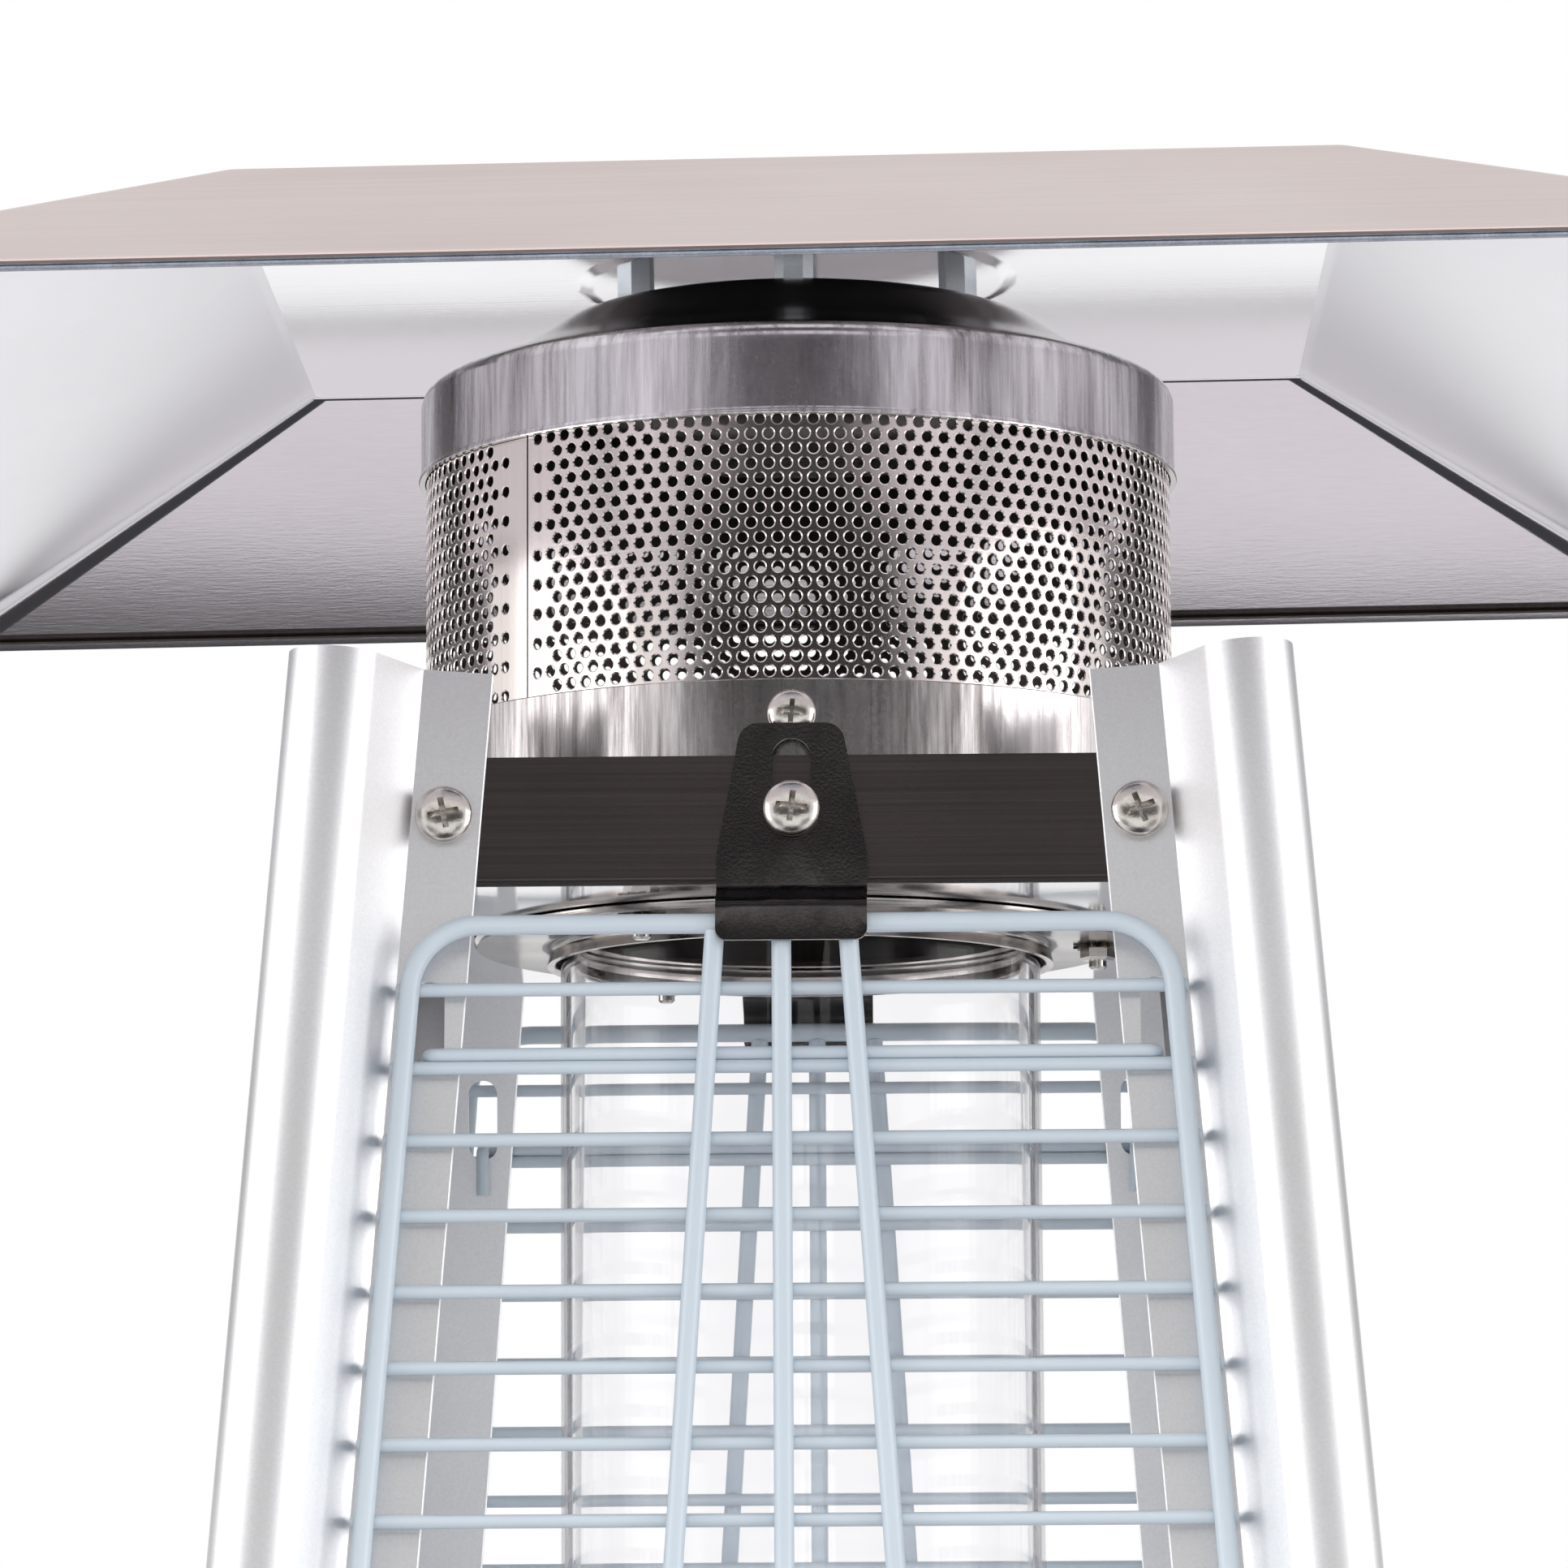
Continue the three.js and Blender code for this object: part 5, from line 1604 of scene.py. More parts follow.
@dataclass
class Hood:
    """Folded square hood: flat top with a pressed disc, slopes and a hem."""

    half: float = 112.2 * MM
    rim_half: float = 208.7 * MM
    top: float = 126.9 * MM
    drop: float = 39 * MM
    sheet: float = 0.8 * MM
    disc: float = 45 * MM
    disc_depth: float = 0.6 * MM
    bend: float = 7 * MM
    corner: float = 5 * MM
    corner_gain: float = 5 * MM
    corner_loss: float = 2 * MM
    hem_reach: float = 0.6 * MM
    hem_depth: float = 1.7 * MM
    rings: list[list[Vector]] = field(default_factory=list)
    marks: list[HoodMark] = field(default_factory=list)

    @property
    def slope(self) -> float:
        """Angle of a slope below level."""
        return math.atan2(self.drop, self.rim_half - self.half)

    @property
    def length(self) -> float:
        """Length of a slope, from the fold to the rim."""
        return math.hypot(self.rim_half - self.half, self.drop)

    def ring(self, outline: list[Pair], rise: float, mark: HoodMark) -> None:
        """Add a ring.

        Args:
            outline: Its points in x and y.
            rise: Its rise.
            mark: Mark of the band that follows.
        """
        self.rings.append(lifted(outline, PYRAMID.level(rise)))
        self.marks.append(mark)

    def on_slope(self, distance: float, depth: float, mark: HoodMark) -> None:
        """Add a ring on the slopes.

        Args:
            distance: Distance down the slope from the fold's corner.
            depth: Depth under the outside.
            mark: Mark of the band that follows.
        """
        out, down = math.cos(self.slope), math.sin(self.slope)
        half = self.half + out * distance - down * depth
        rise = self.top - down * distance - out * depth
        radius = self.corner + self.corner_gain * distance / self.length - depth * 0.5
        self.ring(square(half, radius), rise, mark)

    def fold(self, depth: float, mark: HoodMark, order: range) -> None:
        """Add the rings of the rounded fold between top and slopes.

        Args:
            depth: Depth under the outside.
            mark: Mark of their bands.
            order: Steps from the top, 0, to the slope, 6.
        """
        tangent = self.bend * math.tan(self.slope / 2)
        for step in order:
            turn = self.slope * step / 6
            half = self.half - tangent + (self.bend - depth) * math.sin(turn)
            rise = self.top - self.bend + (self.bend - depth) * math.cos(turn)
            radius = self.corner - self.corner_loss * (1 - step / 6) - depth * 0.5
            self.ring(square(half, radius), rise, mark)

    def mesh(self) -> bpy.types.Mesh:
        """Mesh of the hood, from the middle of its top round the hem to that of its ceiling.

        Returns:
            The mesh.
        """
        dip, disc, length = self.disc_depth, self.disc, self.length
        pressed = [
            (0.1 * MM, self.top - dip), (disc - 2 * MM, self.top - dip),
            (disc - 0.8 * MM, self.top - dip * 0.85), (disc + 0.8 * MM, self.top - dip * 0.15),
            (disc + 2 * MM, self.top),
        ]
        for radius, rise in pressed:
            self.ring(circle(radius), rise, HoodMark.OUTSIDE)
        self.fold(0.0, HoodMark.OUTSIDE, range(7))
        for distance in (20 * MM, length * 0.5, length - 0.5 * MM):
            self.on_slope(distance, 0.0, HoodMark.OUTSIDE)
        self.on_slope(length, 0.25 * MM, HoodMark.OUTSIDE)
        self.on_slope(length, 0.75 * MM, HoodMark.HEM)
        for depth in (0.85 * MM, 1.1 * MM):
            self.on_slope(length - 0.8 * MM, depth, HoodMark.HEM)
        reach = self.hem_reach
        for step in range(11):
            turn = math.pi * step / 10
            distance = length - reach + reach * math.sin(turn)
            mark = HoodMark.INSIDE if step == 10 else HoodMark.HEM
            self.on_slope(distance, self.hem_depth - reach * math.cos(turn), mark)
        # These rings form the hem's gap, which gets painted shadow.
        for back, depth in ((3.3 * MM, 2.3 * MM), (3.6 * MM, 1.9 * MM), (3.3 * MM, 1.1 * MM)):
            self.on_slope(length - back, depth, HoodMark.GAP)
        self.on_slope(length - 4 * MM, self.sheet, HoodMark.INSIDE)
        self.on_slope(length * 0.5, self.sheet, HoodMark.INSIDE)
        self.fold(self.sheet, HoodMark.INSIDE, range(6, -1, -1))
        # The last fold band and the ceiling get the brighter tone, which is painted light.
        self.marks[-1] = HoodMark.CEILING
        for radius, rise in reversed(pressed):
            self.ring(circle(radius), rise - self.sheet, HoodMark.CEILING)
        skin = Skin().rings(self.rings, caps=True, marks=self.marks)
        # Left and right inside slopes get a tone of their own, which is painted shade.
        for index, corners in enumerate(skin.faces):
            middle = sum((skin.vertices[corner] for corner in corners), Vector())
            if skin.marks[index] == HoodMark.INSIDE and abs(middle.x) > abs(middle.y):
                skin.marks[index] = HoodMark.SIDES
        return skin.mesh("hood", 20.0)


@dataclass
class Head(Assembly):
    """Tray, collar, cap and standoffs, with the flame screen and the hood that they hold."""

    tray_rise: float = 12 * MM
    tray_drop: float = 14 * MM
    tray_corner: float = 1.5 * MM
    tray_bend: float = 1.6 * MM
    sheet: float = 1 * MM
    flue: float = 46 * MM
    band: float = 0.8 * MM
    collar_radius: float = 79.2 * MM
    collar_drop: float = 12.7 * MM
    collar_rise: float = 28.3 * MM
    collar_edge: float = 0.3 * MM
    collar_screw: float = 21 * MM
    collar_screw_size: float = 1.1
    cap_lip: float = 82.1 * MM
    cap_shoulder: float = 98.0 * MM
    cap_top: float = 117.3 * MM
    cap_flat: float = 44 * MM
    cap_bend: float = 3.9 * MM
    cap_bend_turn: float = 65.0
    cap_swell: float = 0.07
    hood_tilt: float = -0.0125
    standoff_circle: float = 34 * MM
    standoff_flats: float = 7 * MM
    standoff_bevel: float = 0.4 * MM
    standoff_turns: tuple[float, ...] = (-0.14, 0.52, 0.32, 0.52)
    seat_gap: float = 0.05 * MM
    hood: Hood = field(default_factory=Hood)
    screen: Screen = field(default_factory=Screen)

    def tray(self) -> bpy.types.Mesh:
        """Mesh of the square tray, folded up round its edges.

        Returns:
            The mesh.
        """
        low, high, bend = -self.tray_drop, self.tray_rise, self.tray_bend
        profile: list[Pair] = []
        for step in range(6):
            turn = math.pi / 2 * step / 5
            profile.append((bend * (1 - math.sin(turn)), low + bend * (1 - math.cos(turn))))
        profile += [(0.0, high), (self.sheet, high), (self.sheet, low + self.sheet)]
        flue = circle(self.flue)
        rings = [lifted(flue, PYRAMID.level(rise)) for rise in (low + self.sheet, low)]
        for inset, rise in profile:
            half = PYRAMID.distance(PYRAMID.level(rise)) - BEHIND_POST - inset
            rings.append(lifted(square(half, self.tray_corner), PYRAMID.level(rise)))
        # Mark 1 for flue, underside and inside; mark 0 for the bend, walls and top edge, in painted
        # dark reflection.
        marks = [1, 1, 0, 0, 0, 0, 0, 0, 0, 1, 1]
        return Skin().rings(rings, along=True, marks=marks).mesh("tray", 40.0)

    def collar(self) -> bpy.types.Mesh:
        """Mesh of the plain band round the screen's foot.

        Returns:
            The mesh.
        """
        outer, inner, edge = self.collar_radius, self.collar_radius - self.band, self.collar_edge
        low, high = PYRAMID.level(-self.collar_drop), PYRAMID.level(self.collar_rise)
        profile = [
            (inner, low), (outer - edge, low), (outer, low + edge), (outer, high - edge),
            (outer - edge * 0.5, high - edge * 0.2), (outer - edge, high), (inner, high),
        ]
        return Skin().turned(profile, 160).mesh("collar", 50.0)

    def cap(self) -> bpy.types.Mesh:
        """Mesh of the cap: rolled lip, plain band, rounded shoulder and swelling cone.

        Returns:
            The mesh.
        """
        outer, wall, bend = self.collar_radius, self.band, self.cap_bend
        lip, shoulder, top, flat = self.cap_lip, self.cap_shoulder, self.cap_top, self.cap_flat
        profile = [(outer + 0.35 * MM, lip), (outer + 0.5 * MM, lip + 0.4 * MM)]
        profile += [(outer + 0.35 * MM, lip + 0.9 * MM), (outer, lip + 1.5 * MM)]
        profile += [(outer, shoulder - 1 * MM)]
        for step in range(8):
            turn = math.radians(self.cap_bend_turn) * step / 7
            reach, rise = bend * (1 - math.cos(turn)), bend * math.sin(turn)
            profile.append((outer - reach, shoulder + rise))
        rim, knee = profile[-1]
        marks = [0] * (len(profile) - 2)
        under = [(outer - wall, lip), (outer - wall, shoulder)]
        count = 18
        for step in range(1, count + 1):
            share = step / count
            climb = share - self.cap_swell * math.sin(2 * math.pi * share**1.5)
            radius, rise = rim + (flat - rim) * share, knee + (top - knee) * climb
            profile.append((radius, rise))
            under.append((radius - wall * 0.3, rise - wall))
            marks.append(1)
        profile.append((0.0, top))
        under.append((0.0, top - wall))
        profile += under[::-1]
        marks += [1] * (len(profile) - len(marks))
        levels = [(radius, PYRAMID.level(rise)) for radius, rise in profile]
        return Skin().turned(levels, 160, marks=marks).mesh("cap", 45.0)

    def standoff(self, lift: float) -> bpy.types.Mesh:
        """Mesh of one hexagonal standoff, from the cap up into the hood's sheet.

        Args:
            lift: Rise of the tilted hood at the standoff.

        Returns:
            The mesh.
        """
        low = self.cap_top + self.seat_gap
        high = self.hood.top - self.hood.disc_depth - self.hood.sheet / 2 + lift
        reach = self.standoff_flats / math.sqrt(3)
        bevel = self.standoff_bevel
        levels = [(reach - bevel, low), (reach, low + bevel), (reach, high)]
        rings = [spun(radius, HEXAGON, PYRAMID.level(rise)) for radius, rise in levels]
        return Skin().rings(rings, caps=True).mesh("standoff")

    def build(self, screw: bpy.types.Mesh) -> None:
        """Make the head.

        Args:
            screw: Mesh of a small pan head screw.
        """
        # The tray's bend and walls get painted dark reflection; flue, underside and inside keep
        # bright steel.
        finishes = [TRAY_PAINTED_REFLECTION, MIRROR_STEEL]
        self.fit("top_tray_folded", self.tray(), finishes, "dark_steel", ("top_tray",))
        self.fit("collar_band", self.collar(), COLLAR_STEEL, "hood_steel", ("collar",))
        # The screen's inside and hole walls get painted shade.
        mesh, finishes = self.screen.mesh(), [SCREEN_STEEL, PAINTED_SHADE_STEEL]
        self.fit("flame_screen_perforated", mesh, finishes, "hood_steel", ("flame_screen",))
        # The cap's cone is a darker copy of the band's steel: painted dark reflection.
        finishes = [CAP_BAND_STEEL, CAP_TOP_PAINTED_REFLECTION]
        self.fit("cap_spun", self.cap(), finishes, "hood_steel", ("cap",))
        # One steel in painted lit and shaded tones for outside, inside, ceiling and sides; the last
        # finish is painted shadow in the hem's gap.
        finishes = [
            HOOD_OUTSIDE_PAINTED_SHADE, HEM_STEEL, HOOD_INSIDE_PAINTED_SHADE, HOOD_CEILING_PAINTED_LIGHT, HOOD_SIDES_PAINTED_SHADE, PAINTED_SHADE_STEEL,
        ]
        level = Matrix.Translation((0, 0, PYRAMID.level(self.hood.top)))
        tilt = level @ Matrix.Rotation(self.hood_tilt, 4, "Y") @ level.inverted()
        self.fit("hood_folded", self.hood.mesh(), finishes, "hood_steel", ("hood",), tilt)
        for turn, name in enumerate(("right", "back", "left", "front")):
            angle = turn * math.pi / 2
            lift = -math.tan(self.hood_tilt) * self.standoff_circle * math.cos(angle)
            place = Matrix.Rotation(angle, 4, "Z")
            place = place @ Matrix.Translation((self.standoff_circle, 0, 0))
            node = f"standoff_{name}"
            spin = place @ Matrix.Rotation(self.standoff_turns[turn], 4, "Z")
            mesh = self.standoff(lift)
            self.fit(f"{node}_hex", mesh, STANDOFF_STEEL, "zinc", (node,), spin)
            top = PYRAMID.level(self.hood.top - self.hood.disc_depth + self.seat_gap + lift)
            up = Matrix.Translation((0, 0, top)) @ Matrix.Rotation(-math.pi / 2, 4, "X")
            node = f"hood_screw_{name}"
            self.fit(f"{node}_pan", screw, SCREW_STEEL, "zinc", (node,), place @ up)
        size = Matrix.Scale(self.collar_screw_size, 4)
        seat = (0.0, -self.collar_radius - self.seat_gap, PYRAMID.level(self.collar_screw))
        for index, name in enumerate(("front", "back")):
            turn = Matrix.Rotation(0.1 + index, 4, "Y") @ size
            place = Matrix.Rotation(index * math.pi, 4, "Z") @ Matrix.Translation(seat) @ turn
            node = f"collar_screw_{name}"
            self.fit(f"{node}_pan", screw, SCREW_STEEL, "zinc", (node,), place)


@dataclass
class FlameTube(Assembly):
    """Quartz tube with its top ring, its seat and the burner in its foot."""

    radius: float = 50 * MM
    wall: float = 2.8 * MM
    length: float = 1250 * MM
    top: float = 2128 * MM
    shelf: float = 870 * MM
    gap: float = 0.8 * MM
    ring_drop: float = 14.3 * MM
    ring_wall: float = 1.5 * MM
    ring_depth: float = 5.5 * MM
    ring_bend: float = 2 * MM
    ring_flange: float = 18 * MM
    seat_flange: float = 12 * MM
    seat_ledge: float = 7 * MM
    seat_wall: float = 3.2 * MM
    ports: int = 28
    port_radius: float = 1.3 * MM
    nut_circle: float = 62 * MM
    nut_reach: float = 3.7 * MM
    washer_radius: float = 4.2 * MM
    tooth: float = 0.9 * MM
    teeth: int = 10

    def tube(self) -> bpy.types.Mesh:
        """Mesh of the glass tube with fire-polished ends.

        Returns:
            The mesh.
        """
        outer, inner = self.radius, self.radius - self.wall
        low, high = self.top - self.length, self.top
        profile: list[Pair] = []
        reach = self.wall / 2
        middle = (outer + inner) / 2
        for end, start in ((high - reach, 0.0), (low + reach, math.pi)):
            for step in range(7):
                turn = start + math.pi * step / 6
                profile.append((middle + reach * math.cos(turn), end + reach * math.sin(turn)))
        return Skin().turned(profile, 128).mesh("tube", 60.0)

    def ring(self) -> bpy.types.Mesh:
        """Mesh of the flanged ring under the tray, with a rolled cup.

        Returns:
            The mesh.
        """
        high, wall, bend = PYRAMID.level(-self.ring_drop), self.ring_wall, self.ring_bend
        inner, low = self.radius + self.gap, high - self.ring_depth
        profile = [(inner, high), (inner, low + 0.6 * MM), (inner + 0.6 * MM, low)]
        profile += [(inner + wall + 0.5 * MM, low), (inner + wall + 0.3 * MM, low + 1 * MM)]
        for step in range(6):
            turn = math.pi / 2 * step / 5
            reach = inner + wall + bend * (1 - math.cos(turn))
            profile.append((reach, high - wall - bend * (1 - math.sin(turn))))
        rim = self.radius + self.ring_flange
        profile += [(rim - 0.5 * MM, high - wall), (rim, high - wall / 2), (rim, high)]
        return Skin().turned(profile, 128).mesh("ring", 45.0)

    def seat(self) -> bpy.types.Mesh:
        """Mesh of the flanged seat on the shelf.

        Returns:
            The mesh.
        """
        low, outer = self.shelf + SHEET_GAP, self.radius + self.gap + self.seat_wall
        bore, ledge, flange = (
            self.radius + self.gap, self.radius - self.seat_ledge, self.radius + self.seat_flange
        )
        rises = [
            (ledge, 0), (flange, 0), (flange, 2.4), (flange - 0.6 * MM, 3), (outer + 2 * MM, 3),
            (outer, 5), (outer, 18.6), (outer - 0.8 * MM, 19.4), (bore + 0.6 * MM, 19.4),
            (bore, 18.8), (bore, 7.4), (ledge, 7.4),
        ]
        profile = [(radius, low + rise * MM) for radius, rise in rises]
        return Skin().turned(profile, 96).mesh("seat", 45.0)

    def burner(self) -> bpy.types.Mesh:
        """Mesh of the burner head with its ring of flame ports.

        Returns:
            The mesh.
        """
        low = self.shelf + SHEET_GAP
        points = [(0.0, 0.0), (20.0, 0.0), (31.4, 13.2), (32.0, 14.0), (32.0, 31.0)]
        for step in range(1, 7):
            turn = math.pi / 2 * step / 6
            points.append((25 + 7 * math.cos(turn), 31 + 11.5 * math.sin(turn)))
        points += [(12.0, 45.0), (0.0, 46.0)]
        profile = [(radius * MM, low + rise * MM) for radius, rise in points]
        body = Skin().turned(profile, 72, closed=False).mesh("burner", 40.0)
        ports = Skin()
        for turn in around(self.ports):
            out = Vector((math.cos(turn), math.sin(turn), 0.0))
            for rise, shift in ((20, 0.0), (26, 0.5)):
                way = Matrix.Rotation(2 * math.pi * shift / self.ports, 3, "Z") @ out
                start = way * (29 * MM) + Vector((0, 0, low + rise * MM))
                ports.rod(start, start + way * (8 * MM), self.port_radius, 8)
        return carved(body, ports, 35.0)

    def washer(self) -> Skin:
        """Toothed washer under a nut of the ring.

        Returns:
            Its skin.
        """
        rings = []
        for level in (-0.05 * MM, -0.7 * MM):
            ring = []
            for turn in around(4 * self.teeth):
                reach = self.washer_radius + self.tooth * math.cos(self.teeth * turn)
                ring.append(Vector((reach * math.cos(turn), reach * math.sin(turn), level)))
            rings.append(ring)
        return Skin().rings(rings, caps=True)

    def nut(self) -> Skin:
        """Hexagon nut with the end of its screw.

        Returns:
            Its skin.
        """
        levels = ((1.0, -0.75 * MM), (1.0, -2.6 * MM), (0.86, -3.2 * MM))
        rings = [spun(self.nut_reach * share, HEXAGON, level) for share, level in levels]
        return Skin().rings(rings, caps=True).rod((0, 0, -2 * MM), (0, 0, -5 * MM), 1.9 * MM)

    def build(self, nodes: dict) -> None:
        """Make the tube and what holds it.

        Args:
            nodes: Frame nodes by name.
        """
        glass = self.fit("glass_tube_quartz", self.tube(), GLASS, "tube_glass", ("glass_tube",))
        glass.visible_shadow = False
        self.fit("tube_top_ring_spun", self.ring(), RING_STEEL, "hood_steel", ("tube_top_ring",))
        self.fit("tube_seat_turned", self.seat(), ZINC_PLATE, "zinc", ("tube_seat",))
        self.fit("burner_head_cast", self.burner(), BURNER_IRON, "dark_steel", ("burner_head",))
        low = PYRAMID.level(-self.ring_drop) - self.ring_wall
        out = Matrix.Translation((self.nut_circle, 0, low))
        star, nut = self.washer().mesh("star_washer"), self.nut().mesh("ring_nut")
        for index, turn in enumerate((0, 120, 240)):
            spot = Matrix.Rotation(math.radians(turn), 4, "Z") @ out
            self.fit(f"ring_washer_{index}", star, WASHER_STEEL, "zinc", (), spot)
            self.fit(f"ring_nut_{index}", nut, SCREW_STEEL, "zinc", (), spot)
        self.redress(nodes, ["pilot_bracket"], ZINC_PLATE)
        self.redress(nodes, ["burner_shelf"], PANEL_STEEL)


@dataclass
class Cabinet(Assembly):
    """Panels, door, control group and the gas parts behind them."""

    knob_level: float = 821 * MM
    knob_radius: float = 24 * MM
    skirt_radius: float = 27 * MM
    knob_back: float = 5.3 * MM
    knob_depth: float = 22 * MM
    flutes: int = 24
    flute_depth: float = 0.45 * MM
    grip: Pair = (4.5 * MM, 20 * MM)
    grip_corner: float = 3 * MM
    pointer_half: float = 0.7 * MM
    pointer: Pair = (6 * MM, 19 * MM)
    pointer_height: float = 0.35 * MM
    dial_inner: float = 30 * MM
    dial_outer: float = 34 * MM
    dial_end: float = 36 * MM
    dial_half: float = 0.5 * MM
    dial_levels: Pair = (1.25 * MM, 1.4 * MM)
    dial_marks: int = 8

    def axis(self) -> Matrix:
        """Frame on the front face at the knob, z outwards."""
        spot = Matrix.Translation((0.0, 0.0, PYRAMID.along(self.knob_level)))
        return PYRAMID.frame(Side.FRONT) @ spot @ Matrix.Rotation(math.pi / 2, 4, "X")

    def knob(self) -> bpy.types.Mesh:
        """Mesh of the control knob: skirt, fluted body and grip bar.

        Returns:
            The mesh.
        """
        back, depth = self.knob_back, self.knob_depth
        skirt, body, top = self.skirt_radius, self.knob_radius, back + depth - 7 * MM
        rows = [
            (skirt - 1 * MM, back, 0.0), (skirt, back + 1 * MM, 0.0),
            (skirt, back + 3.4 * MM, 0.0), (skirt - 1.5 * MM, back + 5 * MM, 0.0),
            (body, back + 5.4 * MM, 0.5), (body - 0.3 * MM, back + 12.5 * MM, 1.0),
            (body - 1.4 * MM, back + depth - 8 * MM, 0.6), (body - 3 * MM, top, 0.0),
            (0.2 * MM, top, 0.0),
        ]
        rings: list[list[Vector]] = []
        for radius, level, flute in rows:
            ring = []
            for turn in around(4 * self.flutes):
                wave = 0.5 + 0.5 * math.cos(turn * self.flutes)
                reach = radius - self.flute_depth * flute * wave
                ring.append(Vector((reach * math.cos(turn), reach * math.sin(turn), level)))
            rings.append(ring)
        skin = Skin().rings(rings, caps=True)
        half, end = self.grip
        corners = [(-half, -end), (half, -end), (half, end), (-half, end)]
        foot = rounded(corners, self.grip_corner, 4)
        loops = []
        for share, level in ((1.0, depth - 8 * MM), (0.94, depth - 1.2 * MM), (0.8, depth)):
            outline = [(x * share, y * (0.5 + share / 2)) for x, y in foot]
            loops.append(lifted(outline, back + level))
        skin.rings(loops, caps=True)
        return skin.mesh("knob", 40.0)

    def dial(self) -> Skin:
        """Plain marks round the knob, from its rest position counter-clockwise.

        Returns:
            Their skin.
        """
        marks = Skin()
        for index in range(self.dial_marks):
            turn = math.radians(90 + index * 30)
            way = Vector((math.cos(turn), math.sin(turn), 0))
            side = Vector((-way.y, way.x, 0)) * self.dial_half
            ends = index in (0, self.dial_marks - 1)
            inner = way * self.dial_inner
            outer = way * (self.dial_end if ends else self.dial_outer)
            loop = [inner - side, outer - side, outer + side, inner + side]
            rings = [[point + Vector((0, 0, z)) for point in loop] for z in self.dial_levels]
            marks.rings(rings, caps=True)
        return marks

    def build(self, nodes: dict) -> None:
        """Dress the cabinet and make the control group.

        Args:
            nodes: Frame nodes by name.
        """
        panels = ["panel_right", "panel_back", "panel_left", "control_panel", "front_door"]
        self.redress(nodes, panels, PANEL_STEEL)
        self.redress(nodes, ["gas_valve", "valve_spindle", "mixing_tube", "burner_pipe"], BRASS)
        self.redress(nodes, ["door_hinge_lower", "door_hinge_upper"], ZINC_PLATE)
        self.redress(nodes, ["door_handle", "igniter_housing", "igniter_button"], BLACK_PLASTIC)
        place, slot = self.axis(), "black_plastic"
        stands = ("control_knob",)
        self.fit("control_knob_moulded", self.knob(), BLACK_PLASTIC, slot, stands, place, "knob")
        half, (near, far) = self.pointer_half, self.pointer
        outline = [(-half, near), (half, near), (half, far), (-half, far)]
        rings = [lifted(outline, level) for level in (0.0, self.pointer_height)]
        mesh = Skin().rings(rings, caps=True).mesh("pointer")
        top = Matrix.Translation((0, 0, self.knob_back + self.knob_depth))
        self.fit("knob_pointer", mesh, MARKING, slot, (), place @ top, "knob")
        self.fit("dial_marks", self.dial().mesh("dial"), BLACK_PLASTIC, slot, (), place)


@dataclass
class Footing(Assembly):
    """Base pan with its feet, wheels and axle."""

    def build(self, nodes: dict) -> None:
        """Dress the footing.

        Args:
            nodes: Frame nodes by name.
        """
        self.redress(nodes, ["base"], BASE_METAL)
        self.redress(nodes, ["foot_left", "foot_right", "wheel_left", "wheel_right"], RUBBER)
        self.redress(nodes, ["wheel_axle"], ZINC_PLATE)


@dataclass(frozen=True)
class Lamp:
    """Soft rectangular lamp that faces a point on the heater's axis."""

    name: str
    spot: Triple
    aim: float
    size: Pair
    power: float
    mirrored: bool = True

    def build(self) -> None:
        """Hang the lamp."""
        data = bpy.data.lights.new(self.name, "AREA")
        data.shape = "RECTANGLE"
        data.size, data.size_y = self.size
        data.energy = self.power
        lamp = bpy.data.objects.new(self.name, data)
        bpy.context.scene.collection.objects.link(lamp)
        way = Vector((0.0, 0.0, self.aim)) - Vector(self.spot)
        turn = way.to_track_quat("-Z", "Y").to_matrix().to_4x4()
        lamp.matrix_world = Matrix.Translation(self.spot) @ turn
        lamp.visible_glossy = self.mirrored


@dataclass(frozen=True)
class Card:
    """Dark card that only reflections show, so that bright metal reads as metal."""

    name: str
    corners: list[Vector]
    grey: float
    tint: float = 1.03

    def build(self) -> None:
        """Set up the card, a strip between its lower and upper corners by turns."""
        skin = Skin(self.corners)
        for first in range(0, len(self.corners) - 2, 2):
            skin.face((first, first + 2, first + 3, first + 1))
        mesh = skin.mesh(self.name)
        material = bpy.data.materials.new(self.name)
        material.use_nodes = True
        graph = Graph(material.node_tree)
        colour = (self.grey, self.grey, self.grey * self.tint)
        shine = graph.add("ShaderNodeEmission", None, {"Color": colour})
        graph.plug(material.node_tree.nodes["Material Output"].inputs["Surface"], shine)
        mesh.materials.append(material)
        card = bpy.data.objects.new(self.name, mesh)
        bpy.context.scene.collection.objects.link(card)
        for ray in ("camera", "diffuse", "transmission", "shadow"):
            setattr(card, f"visible_{ray}", False)


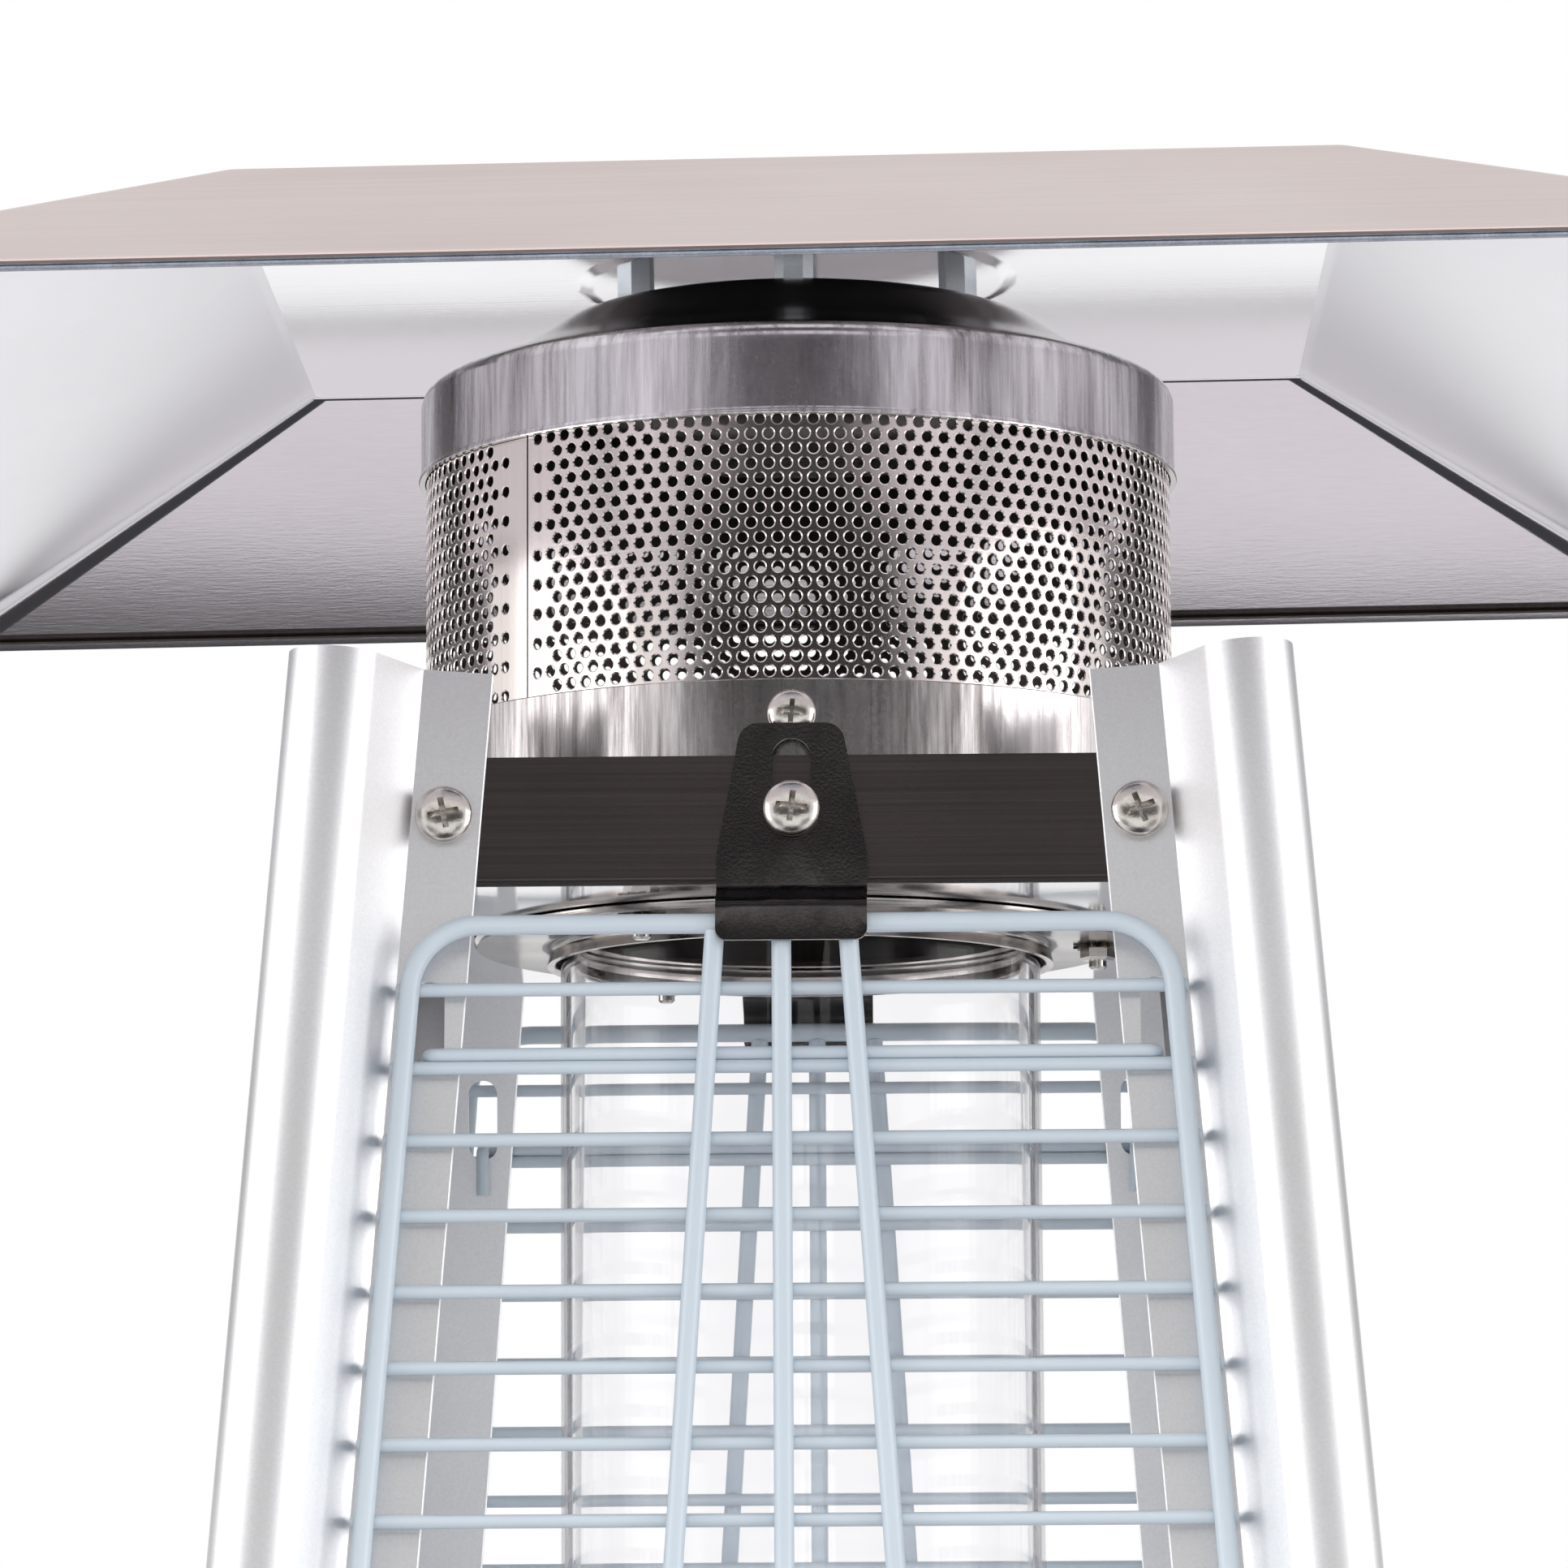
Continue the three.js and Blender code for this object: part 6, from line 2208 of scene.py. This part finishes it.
@dataclass
class Studio:
    """Pale floor, white surround, soft lamps, dark cards and the photograph's camera."""

    eye: Triple = (0.02974, -1.58539, 1.92396)
    yaw: float = 0.0208
    pitch: float = 0.1495
    roll: float = -0.0051
    lens: float = 175.9
    white: Triple = (1.0, 1.0, 1.0)
    world_level: float = 0.72
    floor_colour: Triple = (0.75, 0.72, 0.74)
    floor_shade: Triple = (0.77, 0.74, 0.75)
    floor_reach: float = 60.0
    fade: Pair = (0.8, 7.0)
    side_spot: Triple = (3.42, -1.1, 2.6)
    side_size: Pair = (2.6, 3.2)
    side_power: float = 52.0
    front_levels: Pair = (2.3, 3.3)
    front_radius: float = 3.4
    front_greys: Triple = (0.12, 0.35, 0.65)
    side_levels: Pair = (2.2, 3.4)
    side_radius: float = 3.6
    low_levels: Pair = (0.1, 1.6)
    low_radius: float = 4.2
    low_half: float = 11.0
    floor_card: float = 0.02
    floor_edges: tuple[float, ...] = (0.7, 0.95, 1.2, 1.5, 1.9, 4.0)
    floor_greys: tuple[float, ...] = (0.05, 0.15, 0.3, 0.5, 0.75, 1.0)

    def camera(self) -> None:
        """Set the photograph's camera."""
        data = bpy.data.cameras.new("camera")
        data.lens = self.lens
        data.sensor_width = 36.0
        data.clip_start, data.clip_end = 0.05, 200.0
        camera = bpy.data.objects.new("camera", data)
        bpy.context.scene.collection.objects.link(camera)
        level = Vector((-math.sin(self.yaw), math.cos(self.yaw), 0.0))
        across = Vector((math.cos(self.yaw), math.sin(self.yaw), 0.0))
        up = Vector((0.0, 0.0, 1.0))
        ahead = level * math.cos(self.pitch) + up * math.sin(self.pitch)
        upward = up * math.cos(self.pitch) - level * math.sin(self.pitch)
        right = across * math.cos(self.roll) + upward * math.sin(self.roll)
        top = upward * math.cos(self.roll) - across * math.sin(self.roll)
        turn = Matrix((right, top, -ahead)).transposed()
        camera.matrix_world = Matrix.Translation(self.eye) @ turn.to_4x4()
        bpy.context.scene.camera = camera

    def surround(self) -> None:
        """White background that metal and glass show too, and a plain level of soft light."""
        world = bpy.data.worlds.new("studio")
        world.use_nodes = True
        bpy.context.scene.world = world
        world.node_tree.nodes.clear()
        graph = Graph(world.node_tree)
        seen = graph.seen()
        light, white = (
            graph.add("ShaderNodeBackground", None, {"Color": self.white, "Strength": strength})
            for strength in (self.world_level, 1.0)
        )
        both = graph.add("ShaderNodeMixShader", None, {0: seen, 1: light, 2: white})
        output = world.node_tree.nodes.new("ShaderNodeOutputWorld")
        graph.plug(output.inputs["Surface"], both)

    def floor(self) -> None:
        """Pale floor that fades to the white surround and keeps the heater's shadow."""
        rings = [spun(radius, around(64)) for radius in (0.01, self.floor_reach)]
        mesh = Skin().rings(rings).mesh("floor")
        material = bpy.data.materials.new("floor")
        material.use_nodes = True
        graph = Graph(material.node_tree)
        shader = material.node_tree.nodes["Principled BSDF"]
        even = graph.stretched()
        colour = graph.mix(graph.noise(even, 60.0, 2.0), self.floor_colour, self.floor_shade)
        graph.plug(shader.inputs["Base Color"], colour)
        graph.plug(shader.inputs["Roughness"], 0.8)
        far = graph.add("ShaderNodeVectorMath", {"operation": "LENGTH"}, {0: even}, "Value")
        span = {"Value": far, "From Min": self.fade[0], "From Max": self.fade[1]}
        fade = graph.add("ShaderNodeMapRange", {"clamp": True}, span)
        seen = graph.seen()
        white = graph.add("ShaderNodeEmission", None, {"Color": self.white, "Strength": 1.0})
        lit = Signal(graph, shader.outputs["BSDF"])
        both = graph.add("ShaderNodeMixShader", None, {0: fade * seen, 1: lit, 2: white})
        graph.plug(material.node_tree.nodes["Material Output"].inputs["Surface"], both)
        mesh.materials.append(material)
        piece = bpy.data.objects.new("floor", mesh)
        bpy.context.scene.collection.objects.link(piece)

    def bent_card(self, name: str, turns: Pair, levels: Pair, radius: float, grey: float) -> None:
        """Dark card bent round the heater.

        Args:
            name: Its name.
            turns: Where it starts and ends, in degrees from the front, rightwards positive.
            levels: Height of its lower and upper edge.
            radius: Its distance from the heater's axis.
            grey: Grey level of the card.
        """
        corners = []
        steps = 10
        for step in range(steps + 1):
            turn = math.radians(turns[0] + (turns[1] - turns[0]) * step / steps)
            x, y = radius * math.sin(turn), -radius * math.cos(turn)
            corners += [Vector((x, y, z)) for z in levels]
        Card(name, corners, grey).build()

    def lamps(self) -> None:
        """Two large side lamps, one above, and one in front that metal doesn't mirror."""
        x, y, z = self.side_spot
        for name, sign in (("left_box", -1), ("right_box", 1)):
            Lamp(name, (sign * x, y, z), 1.9, self.side_size, self.side_power).build()
        Lamp("top_box", (0.0, -1.2, 5.2), 1.8, (3.0, 2.0), 50.0).build()
        Lamp("front_box", (0.0, -3.6, 2.6), 1.8, (2.0, 1.2), 22.0, mirrored=False).build()

    def bent_cards(self) -> None:
        """Dark cards in front and at the sides, and four low ones at the corners."""
        levels, radius = self.front_levels, self.front_radius
        self.bent_card("front_flag", (-25.0, 28.0), levels, radius, 0.02)
        for step, grey in enumerate(self.front_greys):
            near = 4.0 * step
            turns = (-29.0 - near, -25.0 - near)
            self.bent_card(f"front_left_{step}", turns, levels, radius, grey)
            turns = (28.0 + near, 32.0 + near)
            self.bent_card(f"front_right_{step}", turns, levels, radius, grey)
        levels, radius = self.side_levels, self.side_radius
        self.bent_card("left_flag", (-152.0, -108.0), levels, radius, 0.16)
        self.bent_card("right_flag", (108.0, 152.0), levels, radius, 0.16)
        for turn in (-151.0, -29.0, 29.0, 151.0):
            name = f"low_flag_{round(turn) % 360}"
            turns = (turn - self.low_half, turn + self.low_half)
            self.bent_card(name, turns, self.low_levels, self.low_radius, 0.3)

    def floor_cards(self) -> None:
        """Dark cards on the floor: one behind, and a row in front that pales to both sides."""
        height = self.floor_card
        corners = [Vector((-5, 1.45, height)), Vector((-5, 3, height))]
        corners += [Vector((5, 2.16, height)), Vector((5, 3.4, height))]
        Card("back_floor_flag", corners, 0.05).build()
        edges = [-edge for edge in reversed(self.floor_edges)] + list(self.floor_edges)
        greys = [*reversed(self.floor_greys), *self.floor_greys[1:]]
        for index, grey in enumerate(greys):
            sides = edges[index : index + 2]
            corners = [Vector((x, y, height)) for x in sides for y in (-1.25, -4.5)]
            Card(f"front_floor_flag_{index}", corners, grey).build()

    def build(self) -> None:
        """Set up the studio."""
        self.camera()
        self.surround()
        self.floor()
        self.lamps()
        self.bent_cards()
        self.floor_cards()
        bpy.context.scene.view_settings.view_transform = "Standard"


def main() -> None:
    """Build the heater and its studio in order."""
    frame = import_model()
    nodes = frame["nodes"]
    screw = pan_screw(radius=5.7 * MM, height=3.3 * MM, length=4.5 * MM, name="pan_screw")
    small = pan_screw(radius=4.4 * MM, height=2.8 * MM, length=3.5 * MM, name="small_screw")
    Posts().build(screw)
    Guards().build(screw)
    Head().build(small)
    FlameTube().build(nodes)
    Cabinet().build(nodes)
    Footing().build(nodes)
    Studio().build()


if __name__ == "__main__":
    logging.basicConfig(level=logging.INFO, format="%(name)s: %(message)s")
    main()
